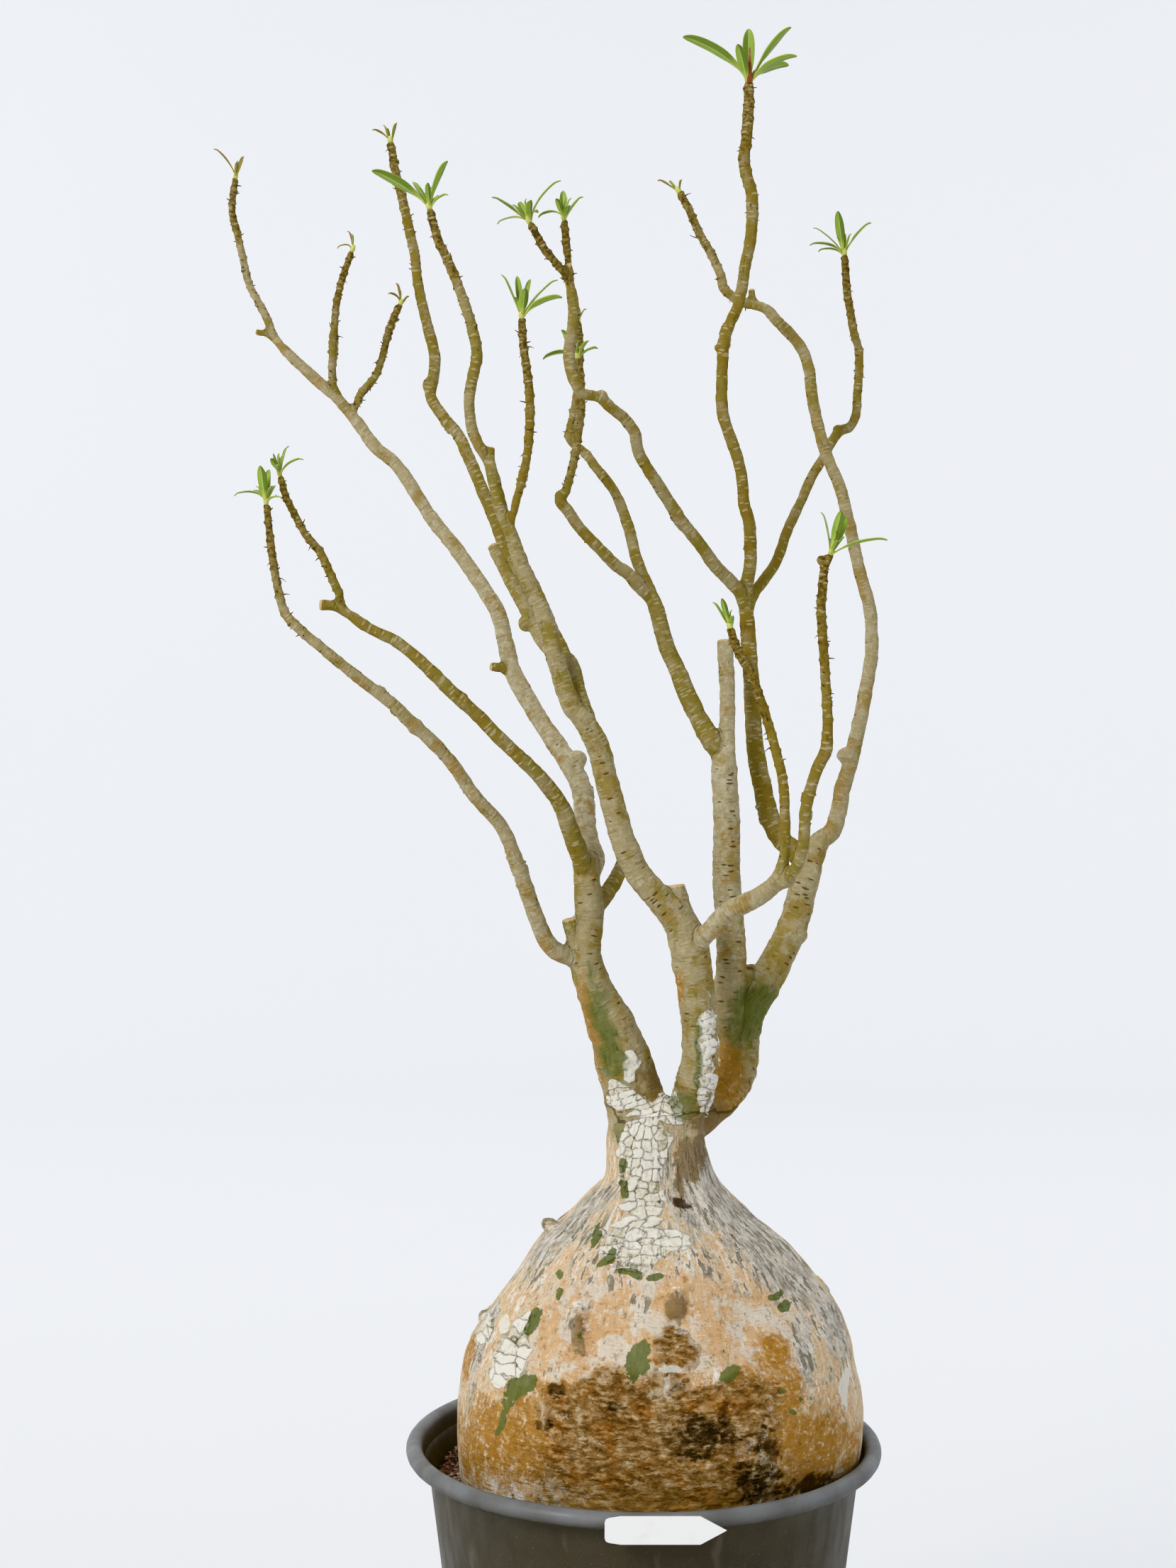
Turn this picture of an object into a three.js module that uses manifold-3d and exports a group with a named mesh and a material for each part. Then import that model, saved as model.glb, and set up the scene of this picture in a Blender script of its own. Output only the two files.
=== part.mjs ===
// A desert rose (adenium) in a round nursery pot: a swollen base that tapers to a short neck,
// three bare branching stems, and a tuft of small strap leaves at the end of every shoot.
//
// Millimetres, +Z up, +X to the right and +Y away from the viewer.
// The origin is the middle of the pot's foot, on the surface that the pot stands on.

import * as THREE from 'three';
import { mergeVertices } from 'three/addons/utils/BufferGeometryUtils.js';
import Module from 'manifold-3d';

const wasm = await Module();
wasm.setup();

// ---------------------------------------------------------------------------------------------
// Driving dimensions
// ---------------------------------------------------------------------------------------------

const GAP = 0.3;                   // clear space left between pieces that touch

const POT_RIM_RADIUS = 150;        // a 30 cm pot, over its rolled rim
const POT_HEIGHT = 275;
const POT_FOOT_RADIUS = 103;
const POT_WALL = 2.4;
const POT_WALL_TOP = 251;          // where the straight wall runs out into the rim
const POT_WALL_TOP_RADIUS = 134.5;
const POT_FLOOR = 7;               // inside floor above the ground
const POT_PAD_RADIUS = 30;         // flat middle of the underside
const POT_SIDES = 36;
const DRAIN_HOLES = 6;
const DRAIN_HOLE_RADIUS = 5;
const DRAIN_CIRCLE_RADIUS = 60;

const SOIL_LEVEL = 251;
const HOLE_CLEARANCE = 0.6;        // between the buried base and the hole it stands in
const GRIT_STONES = 24;
const SOIL_SWELL = 1.6;            // how far its uneven top rises and dips

const TAG_LENGTH = 69;
const TAG_HEIGHT = 16;
const TAG_THICKNESS = 0.8;
const TAG_POINT = 15;              // length of its pointed end
const TAG_LEFT = -25.6;
const TAG_CENTRE_HEIGHT = 267;

const RING_SPACING = 2.6;          // rings along a limb, in times its thickness
const CROWN_LEVEL = 500;           // where the three stems leave the crown of the base
const BASE_FLATTENING = 0.95;      // the base is this much shallower than it is wide
const BASE_SIDES = 36;
const BASE_RINGS = 24;

const LEAF_THICKNESS = 0.8;
const LEAF_STEPS = 3;
const LONG_LEAF = 32;              // a leaf longer than this has two steps more
const BUD_HALF_HEIGHT = 3.2;

// Routes of the stems are written on the upright plane through the pot's axis, as they are seen
// from the eye point, and then moved along the line of sight to their own depth.
const EYE = new THREE.Vector3(-35, -1350, 688);

// ---------------------------------------------------------------------------------------------
// Solids
// ---------------------------------------------------------------------------------------------

// A closed geometry as a solid that can be joined and cut.
function solidOf(geometry) {
  const bare = geometry.index ? geometry.toNonIndexed() : geometry.clone();
  bare.deleteAttribute('normal');
  bare.deleteAttribute('uv');
  const merged = mergeVertices(bare, 1e-4);
  const corners = merged.index.array;
  const kept = [];
  for (let i = 0; i < corners.length; i += 3) {
    const [a, b, c] = [corners[i], corners[i + 1], corners[i + 2]];
    if (a !== b && b !== c && c !== a) kept.push(a, b, c);
  }
  return new wasm.Manifold(new wasm.Mesh({
    numProp: 3,
    vertProperties: new Float32Array(merged.attributes.position.array),
    triVerts: new Uint32Array(kept),
  }));
}

function joined(solids) {
  return solids.reduce((whole, next) => whole.add(next));
}

// The largest body of a solid, without the scraps that a cut may leave.
function largestBody(solid) {
  const bodies = solid.decompose();
  return bodies.reduce((best, next) => (next.volume() > best.volume() ? next : best));
}

function meshOf(name, solid, material) {
  const { vertProperties, triVerts } = solid.getMesh();
  const indexed = new THREE.BufferGeometry();
  indexed.setAttribute('position', new THREE.BufferAttribute(vertProperties, 3));
  indexed.setIndex(new THREE.BufferAttribute(triVerts, 1));
  const mesh = new THREE.Mesh(indexed, material);
  mesh.name = name;
  return mesh;
}

// Lathe outlines are [radius, height] pairs that start and end on the axis.
function turned(outline, sides) {
  const points = outline.map(([radius, height]) => new THREE.Vector2(radius, height));
  return new THREE.LatheGeometry(points, sides).rotateX(Math.PI / 2);
}

// A smooth bump that is 1 at the centre and 0 from `reach` outwards.
function bump(distance, reach) {
  return distance < reach ? Math.cos((distance / reach) * (Math.PI / 2)) ** 2 : 0;
}

function seededRandom(seed) {
  let state = seed;
  return () => {
    state = (state * 1664525 + 1013904223) % 4294967296;
    return state / 4294967296;
  };
}

// ---------------------------------------------------------------------------------------------
// Limbs
// ---------------------------------------------------------------------------------------------

// Moves a place on the upright plane along the line of sight to its depth.
function seen(across, up, depth) {
  const reach = (depth - EYE.y) / -EYE.y;
  return new THREE.Vector3(
    EYE.x + (across - EYE.x) * reach,
    depth,
    EYE.z + (up - EYE.z) * reach,
  );
}

function sidesFor(thickness) {
  if (thickness > 22) return 12;
  return thickness > 12.8 ? 8 : 6;
}

// A limb follows [across, up, depth, thickness] points. It is a cylinder bent along the curve,
// a little swollen and pinched along its length, as the growth rings of the real one are.
function limb(route, grow = 0) {
  const curve = new THREE.CatmullRomCurve3(
    route.map(([across, up, depth]) => seen(across, up, depth)),
    false,
    'centripetal',
  );
  const thickest = Math.max(...route.map((point) => point[3]));
  const mean = route.reduce((sum, point) => sum + point[3], 0) / route.length;
  const steps = Math.max(2, Math.round(curve.getLength() / (mean * RING_SPACING)));
  const sides = sidesFor(thickest);
  const frames = curve.computeFrenetFrames(steps, false);
  const bent = new THREE.CylinderGeometry(1, 1, steps, sides, steps);
  const position = bent.attributes.position;

  for (let i = 0; i < position.count; i += 1) {
    const ring = Math.round(position.getY(i) + steps / 2);
    const along = curve.getUtoTmapping(ring / steps) * (route.length - 1);
    const before = Math.min(Math.floor(along), route.length - 2);
    const thickness = THREE.MathUtils.lerp(route[before][3], route[before + 1][3], along - before);
    const centre = curve.getPointAt(ring / steps);
    const reach = (centre.y - EYE.y) / -EYE.y;
    const pinch = ring === 0 || ring === steps ? 0.86 : 1 + 0.045 * Math.sin(ring * 2.4);
    const radius = (thickness / 2) * reach * pinch + grow;
    const place = centre
      .addScaledVector(frames.normals[ring], position.getX(i) * radius)
      .addScaledVector(frames.binormals[ring], -position.getZ(i) * radius);
    position.setXYZ(i, place.x, place.y, place.z);
  }
  return solidOf(bent);
}

// A knob is a small rounded swelling: a burl, a bud or a healed cut.
function knob([across, up, depth], [wide, deep, high], grow = 0) {
  const ball = new THREE.SphereGeometry(1, 7, 5).rotateX(Math.PI / 2);
  ball.scale(wide / 2 + grow, deep / 2 + grow, high / 2 + grow);
  const centre = seen(across, up, depth);
  return solidOf(ball.translate(centre.x, centre.y, centre.z));
}

// ---------------------------------------------------------------------------------------------
// Pot, potting mix and tag
// ---------------------------------------------------------------------------------------------

function wallRadius(height) {
  return POT_FOOT_RADIUS + (POT_WALL_TOP_RADIUS - POT_FOOT_RADIUS) * (height / POT_WALL_TOP);
}

function pot() {
  const R = POT_RIM_RADIUS;
  const H = POT_HEIGHT;
  const outline = [
    [0, 0],
    [POT_PAD_RADIUS, 0],
    [POT_PAD_RADIUS + 3, 4],
    [80, 4],
    [83, 0],
    [wallRadius(3) - 3, 0],
    [wallRadius(3), 3],
    [POT_WALL_TOP_RADIUS, POT_WALL_TOP],
    [R - 12.5, H - 12.5],
    [R - 2.5, H - 10],
    [R, H - 6],
    [R - 1, H - 1.6],
    [R - 4, H],
    [R - 8, H - 1.4],
    [R - 10, H - 6],
    [POT_WALL_TOP_RADIUS - POT_WALL, POT_WALL_TOP - 1],
    [wallRadius(POT_FLOOR) - POT_WALL - 1, POT_FLOOR],
    [0, POT_FLOOR],
  ];
  let shell = solidOf(turned(outline, POT_SIDES));
  for (let i = 0; i < DRAIN_HOLES; i += 1) {
    const angle = ((i + 0.5) / DRAIN_HOLES) * Math.PI * 2;
    const drill = new THREE.CylinderGeometry(DRAIN_HOLE_RADIUS, DRAIN_HOLE_RADIUS, 20, 12);
    drill.rotateX(Math.PI / 2);
    drill.translate(
      DRAIN_CIRCLE_RADIUS * Math.cos(angle),
      DRAIN_CIRCLE_RADIUS * Math.sin(angle),
      POT_FLOOR / 2,
    );
    shell = shell.subtract(solidOf(drill));
  }
  return shell;
}

// The mix fills the pot round the buried part of the base. Its top is uneven, with coarse grit.
function soil(plantHole) {
  const inside = (height) => wallRadius(height) - POT_WALL - GAP - 0.3;
  const outline = [
    [0, POT_FLOOR + GAP],
    [inside(POT_FLOOR) - 1, POT_FLOOR + GAP],
    [inside(SOIL_LEVEL - 5), SOIL_LEVEL - 5],
    [inside(SOIL_LEVEL - 5) - 1.5, SOIL_LEVEL - 1],
    [122, SOIL_LEVEL],
    [106, SOIL_LEVEL],
    [0, SOIL_LEVEL],
  ];
  const bed = turned(outline, POT_SIDES);
  const position = bed.attributes.position;
  for (let i = 0; i < position.count; i += 1) {
    const [x, y, z] = [position.getX(i), position.getY(i), position.getZ(i)];
    const radius = Math.hypot(x, y);
    if (z > SOIL_LEVEL - 2 && radius > 1) {
      const angle = Math.atan2(y, x);
      position.setZ(i, z + SOIL_SWELL * Math.sin(angle * 5) - 1.2 * Math.sin(angle * 11 + radius * 0.4));
    }
  }

  const random = seededRandom(7);
  const grit = [];
  for (let i = 0; i < GRIT_STONES; i += 1) {
    const size = 1.6 + 1.9 * random();
    const angle = random() * Math.PI * 2;
    const radius = 118 + (inside(SOIL_LEVEL) - size - 119.5) * random();
    const stone = new THREE.IcosahedronGeometry(size, 0);
    stone.scale(1, 0.8, 0.75).rotateX(random() * 3).rotateZ(random() * 3);
    stone.translate(
      radius * Math.cos(angle),
      radius * Math.sin(angle),
      SOIL_LEVEL + SOIL_SWELL * Math.sin(angle * 5) - 0.2,
    );
    grit.push(solidOf(stone));
  }
  return largestBody(joined([solidOf(bed), ...grit]).subtract(plantHole));
}

// A thin plastic tag with one pointed end lies flat against the front of the rim.
function tag() {
  const half = TAG_HEIGHT / 2;
  const right = TAG_LEFT + TAG_LENGTH;
  const outline = new THREE.Shape();
  outline.moveTo(TAG_LEFT + 2.5, -half + 1);
  outline.lineTo(TAG_LEFT + 9, -half);
  outline.lineTo(right - TAG_POINT, -half);
  outline.lineTo(right, 0);
  outline.lineTo(right - TAG_POINT, half);
  outline.lineTo(TAG_LEFT + 9, half);
  outline.lineTo(TAG_LEFT + 2.5, half - 1);
  outline.quadraticCurveTo(TAG_LEFT, half - 1, TAG_LEFT, half - 3);
  outline.lineTo(TAG_LEFT, -half + 3);
  outline.quadraticCurveTo(TAG_LEFT, -half + 1, TAG_LEFT + 2.5, -half + 1);
  const plate = new THREE.ExtrudeGeometry(outline, {
    depth: TAG_THICKNESS,
    bevelEnabled: false,
    curveSegments: 3,
  });
  plate.rotateX(Math.PI / 2);
  plate.translate(0, -POT_RIM_RADIUS - GAP, TAG_CENTRE_HEIGHT);
  return solidOf(plate);
}

// ---------------------------------------------------------------------------------------------
// The swollen base with its neck and crown
// ---------------------------------------------------------------------------------------------

// Half outline of the base from the neck down, as [radius, height, middle of the width].
const BASE_OUTLINE = [
  [0, 492, 8], [20, 486, 8], [29, 474, 8], [31, 462, 8], [32.5, 450, 10],
  [35.6, 439, 11], [44.8, 429, 9], [60.5, 413, 9], [77, 399.6, 9.5], [87.3, 387, 11],
  [96.8, 375, 12], [106, 363, 13], [112.3, 353, 13.5], [118.6, 341, 12.7], [123, 327, 11.3],
  [126.2, 313, 11], [128, 298, 10.9], [127.8, 283, 10.2], [125.5, 265, 8.9], [120.8, 250, 6.5],
  [111, 222, 5], [88, 178, 4], [50, 135, 3], [18, 112, 3], [0, 108, 3],
];
const BASE_DEPTH = -3;             // the base stands this far off the pot's axis

// How far the surface of the base stands out from its plain outline, at an angle round it
// (0 to the right, -90 degrees towards the viewer) and a height.
function baseRelief(angle, height) {
  const shoulder = bump(Math.abs(height - 405), 70);
  const ridges = shoulder * (1.5 * Math.cos(angle * 9 + 0.6) + 0.9 * Math.sin(angle * 14 + 1));
  const waist = 1.1 * Math.sin(angle * 3 + height * 0.035)
    + 0.8 * Math.sin(angle * 5 - height * 0.06);
  const roots = 9 * Math.cos(angle * 4 + 0.5) * bump(Math.abs(height - 165), 60);
  const fromFront = Math.abs(angle + Math.PI * 0.47);
  const scar = bump(fromFront, 1.15) * bump(Math.max(0, height - 262), 62);
  const ledges = 1.1 * Math.sin(height * 0.55 + angle * 4);
  return ridges + waist + roots - scar * (2.6 - ledges);
}

function swollenBody(grow) {
  const profile = new THREE.CatmullRomCurve3(
    BASE_OUTLINE.map(([radius, height, middle]) => new THREE.Vector3(radius, height, middle)),
    false,
    'centripetal',
  );
  const body = new THREE.SphereGeometry(1, BASE_SIDES, BASE_RINGS);
  const position = body.attributes.position;
  const poleOffset = grow * 1.01;
  for (let i = 0; i < position.count; i += 1) {
    const polar = Math.acos(THREE.MathUtils.clamp(position.getY(i), -1, 1)) / Math.PI;
    const angle = Math.atan2(-position.getZ(i), position.getX(i));
    const { x: plain, y: height, z: middle } = profile.getPointAt(polar);
    const isPole = polar < 1e-4 || polar > 1 - 1e-4;
    const radius = isPole ? 0 : Math.max(plain + baseRelief(angle, height), 4) + grow;
    const lift = polar > 0.9 ? -poleOffset : polar < 0.1 ? poleOffset : 0;
    position.setXYZ(
      i,
      middle + radius * Math.cos(angle),
      BASE_DEPTH + radius * Math.sin(angle) * BASE_FLATTENING,
      height + lift,
    );
  }
  return solidOf(body);
}

// The lowest stretch of each stem, which grows out of the neck and belongs to the crown.
const LEFT_TRUNK = [
  [2, 458, -4, 40], [-3, 478, -4, 40], [-6.5, 492, -4, 39], [-12.3, 511, -6, 36],
  [-18, 529, -8, 32], [-25, 545, -9, 27], [-30, 556, -10, 24.5], [-37, 578, -12, 22],
];
const MIDDLE_TRUNK = [
  [22, 462, -10, 27], [27, 478, -16, 26], [32, 492, -20, 25], [36, 513, -24, 24],
  [36, 533, -26, 24], [34, 553.5, -28, 24.3], [31, 574, -30, 25], [28.7, 587, -31, 26],
  [23, 601, -32, 23], [15, 610, -34, 19.5],
];
const RIGHT_TRUNK = [
  [22, 466, 6, 26], [40, 484, 13, 29], [55, 499.5, 19, 28], [59.7, 513, 23, 27],
  [62, 533, 26, 26], [67, 547, 28, 25], [76, 560, 31, 22.5], [89, 584.5, 35, 20],
  [96, 601, 37, 19], [103, 628, 39, 18.5], [107, 641, 40, 17.5], [109, 651, 41, 15],
];

function belowCrown(level) {
  const block = new THREE.BoxGeometry(800, 800, 800);
  return solidOf(block.translate(0, 0, level - 400));
}

function swollenBase(grow = 0) {
  const stumps = joined([LEFT_TRUNK, MIDDLE_TRUNK, RIGHT_TRUNK].map((route) => (
    limb(route.slice(0, 5), grow)
  )));
  const knobs = [
    knob([-41.5, 345, -86], [13, 15, 26], grow),
    knob([20, 357.5, -91], [16, 19, 25], grow),
    knob([-60, 408, -4], [12, 10, 11], grow),
    knob([-104, 350, -4], [8, 9, 10], grow),
    knob([50, 484, 14], [20, 22, 16], grow),
  ];
  const whole = joined([swollenBody(grow), stumps, ...knobs]);
  return whole.intersect(belowCrown(CROWN_LEVEL + grow));
}

// ---------------------------------------------------------------------------------------------
// The three stems
// ---------------------------------------------------------------------------------------------

// Left stem: its own top is the grey limb; the others leave it on the way.
const LEFT_LIMBS = {
  trunkTop: [
    [-34, 570, -11, 21], [-37, 580, -12, 21], [-34, 601, -13, 19], [-35, 619, -14, 18],
    [-37, 638, -14, 17],
  ],
  lowest: [
    [-38, 576, -12, 13], [-48.3, 579, -16, 12], [-55, 582, -20, 12], [-61, 588, -24, 11.4],
    [-70.5, 610, -32, 10.4], [-77, 630, -38, 10], [-81, 641, -42, 9.6], [-90, 661, -48, 9.4],
    [-105.5, 678.5, -56, 9], [-121, 700.5, -63, 8.8], [-136, 717, -70, 9], [-149.5, 729, -75, 9],
    [-158, 738, -78, 8.5], [-172.5, 749, -82, 8], [-200, 771, -89, 7.3], [-220, 788, -92, 6.6],
    [-226.5, 795, -93, 6.4], [-230, 804, -94, 6], [-235, 830, -96, 5.4], [-239, 864, -98, 4.5],
  ],
  olive: [
    [-36, 626, -14, 13], [-38, 636, -18, 13], [-45, 655, -28, 12], [-51.5, 673, -36, 11],
    [-61, 687, -43, 9.8], [-74, 701, -50, 9.4], [-91, 717, -56, 9], [-105.5, 732, -60, 9],
    [-120, 745, -64, 9], [-138, 763, -67, 8.5], [-156, 778, -70, 7.7], [-174, 787, -72, 7.4],
    [-196, 801, -74, 7.2], [-205, 801.5, -75, 7],
  ],
  oliveTwig: [
    [-190, 797, -74, 6], [-193, 808, -76, 6], [-199, 822, -80, 5.8], [-205, 835, -83, 5.6],
    [-214, 846, -86, 5.2], [-221, 858.5, -88, 5], [-227, 871, -89, 4.8], [-230, 882, -90, 4.5],
  ],
  grey: [
    [-36, 626, -13, 14], [-31, 639, -6, 14], [-34, 650, 0, 13.5], [-36.6, 664, 6, 13.5],
    [-39.4, 686, 16, 13.8], [-47, 701, 22, 13.2], [-60.5, 721, 30, 12], [-73.5, 742, 37, 11.8],
    [-83, 760, 43, 11.6], [-87.5, 778, 48, 11], [-92, 796, 52, 10.5],
  ],
  greyTop: [
    [-89, 785, 49, 10.4], [-92, 796, 52, 10.5], [-108, 822, 58, 9.8], [-120, 839, 62, 9.5],
    [-133, 855, 66, 9], [-157, 891, 72, 8.6], [-170, 902, 74, 8.5],
    [-181, 917, 76, 8.1], [-194.5, 933, 77, 8], [-210, 947, 78, 7.7], [-226, 962, 78, 6.8],
    [-233, 970, 78, 6.5], [-241, 988, 76, 5.4], [-250, 1005, 74, 5.2], [-254, 1021.5, 72, 5],
    [-257.5, 1037, 70, 5], [-261, 1052, 68, 4.7], [-259, 1071, 66, 4.2],
  ],
  greyInnerTwig: [
    [-193, 933, 77, 5.8], [-197, 943, 74, 5.6], [-197, 961, 68, 5.4], [-196, 979, 62, 5],
    [-194, 997, 57, 4.8], [-190, 1012, 53, 4.5], [-185.5, 1024.5, 50, 4.2],
  ],
  greyOuterTwig: [
    [-187, 923, 76, 5.6], [-183, 927, 78, 5.4], [-179, 936, 84, 5.4], [-170, 947, 91, 5],
    [-165, 961, 98, 4.6], [-161, 976.5, 105, 4.5], [-155, 991, 111, 4.3],
  ],
  hidden: [
    [-33, 604, -12, 11], [-27, 613, -4, 11], [-16, 630, 12, 10], [-12, 641, 22, 9.5],
    [-15, 664, 38, 9], [-20, 686, 50, 9], [-28, 712, 60, 8.6], [-40, 745, 71, 8.5],
    [-52, 775, 80, 8.3], [-63, 795, 85, 8.2], [-84, 828, 94, 8.1], [-91.5, 848, 98, 8.1],
    [-100.5, 871, 102, 8.1], [-112, 898, 106, 8.1], [-117, 909, 108, 8], [-126, 920, 110, 7.8],
    [-135, 934.5, 112, 7.6], [-133, 947, 113, 7.6], [-132.5, 961, 114, 7.4],
    [-137, 979, 115, 7.2], [-143, 1006, 117, 6.8], [-145, 1024, 118, 6.5],
    [-149, 1042, 119, 6.4], [-153, 1060, 120, 6.2], [-157, 1076, 120, 5.6],
    [-160, 1093.5, 120, 5],
  ],
  lowStub: [[-39, 578, -13, 10], [-44, 590, -15, 10], [-47.5, 602, -16, 9]],
  budStub: [[-84, 760, 43, 9], [-91, 762, 40, 7], [-97, 762.5, 38, 5]],
  elbowStub: [[-233, 970, 78, 6], [-240, 974, 78, 5], [-246, 975, 78, 3.6]],
};
const LEFT_KNOBS = [
  [[-42, 703, 20], [13, 12, 13]],
  [[-144.5, 724.5, -73], [10, 10, 10]],
  [[-137.4, 941, 112], [6, 7, 10]],
  [[-40, 583, -12], [20, 18, 26]],
];

// Middle stem: a thick sawn-off top, a long limb that leans left, and a low limb to the right.
const MIDDLE_LIMBS = {
  leaning: [
    [21, 603, -33, 18], [8, 618, -35, 17.8], [-1, 628, -36, 17.2],
    [-12, 650, -38, 16.2], [-18.6, 673, -39, 15.5], [-24.5, 695, -40, 15.3],
    [-27.6, 709, -41, 15.3], [-38, 729, -43, 14.5], [-45, 737, -44, 13], [-51.5, 754, -45, 12],
    [-57, 772, -46, 11.8], [-59.5, 785, -47, 11.6],
  ],
  top: [
    [-56.5, 770, -46, 11.4], [-59.5, 785, -47, 11.6], [-67, 805, -48, 11], [-77.5, 828, -50, 10],
    [-85, 850, -52, 9.2], [-90, 862, -53, 9], [-95.5, 884, -55, 8.4], [-98, 893, -55, 8.2],
    [-102, 899, -56, 7.8], [-108.6, 913.5, -57, 7.6], [-110.4, 934, -58, 7.2],
    [-108, 947, -58, 7.6], [-105.5, 961, -58, 7.6], [-107.7, 974, -59, 7.3],
    [-113, 992, -60, 6.8], [-123, 1018, -61, 6.3], [-130, 1033, -62, 5.8],
    [-135, 1051, -63, 5.2],
  ],
  sawnTop: [[26, 588, -31, 23], [23, 606, -31, 18], [20, 623, -30, 13.5]],
  cutLimb: [
    [-36, 727, -42, 11], [-41.5, 749, -34, 9.4], [-46, 765, -26, 9], [-62, 776, -14, 9],
    [-73, 796.5, -4, 9], [-81.6, 812, 2, 8.5], [-91, 830, 8, 8], [-95.5, 839, 11, 7.8],
  ],
  upperTwig: [
    [-85, 850, -52, 6], [-82, 862, -58, 5.4], [-75, 889, -70, 5.6], [-73.5, 898, -74, 5.8],
    [-72, 916, -80, 6.3], [-72, 934, -85, 6], [-74, 952, -89, 5.6], [-76, 966, -92, 5.3],
    [-77, 982, -95, 5],
  ],
  low: [
    [30, 583, -32, 15], [37, 590, -38, 13.5], [43.5, 596, -43, 13], [51.6, 605, -48, 13],
    [60, 610, -52, 13], [69, 614, -56, 12.6], [80, 621, -60, 11.8], [86.7, 629, -62, 11],
    [89, 636, -62, 9],
  ],
  lowInner: [
    [86, 628, -62, 9], [88.5, 636, -62, 8.5], [90, 643, -61, 6.9], [90, 670, -58, 6.8],
    [88.5, 691, -56, 6.6], [84, 710, -54, 6.4], [77, 734, -52, 6.3], [68, 759, -52, 6],
    [63, 767, -52, 6], [58, 777.5, -52, 5.8], [56, 785, -52, 5.5],
  ],
  lowOuter: [
    [84, 623, -61, 9], [91, 628, -64, 8.4], [97.5, 636, -68, 8], [101.5, 648, -72, 8],
    [103, 670, -77, 7.7], [107, 687, -80, 7.7], [111.5, 700, -82, 7.8], [116, 709, -83, 8.5],
    [117, 720, -84, 7.2], [117, 733, -85, 6.8], [115, 767, -87, 6.3], [113, 802, -89, 6.3],
    [114, 813, -90, 6], [115, 825, -90, 5.6], [118, 832, -90, 5],
  ],
  gnarl: [[-98, 891, -55, 7.6], [-97, 897, -55, 7], [-96, 902, -55, 5]],
};
const MIDDLE_KNOBS = [
  [[-74.4, 790, -7], [10, 10, 11]],
  [[-30.5, 716, -41], [14, 14, 14]],
  [[90, 628, -62], [14, 13, 13]],
  [[113.2, 830, -87], [6, 6, 6]],
];

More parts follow.
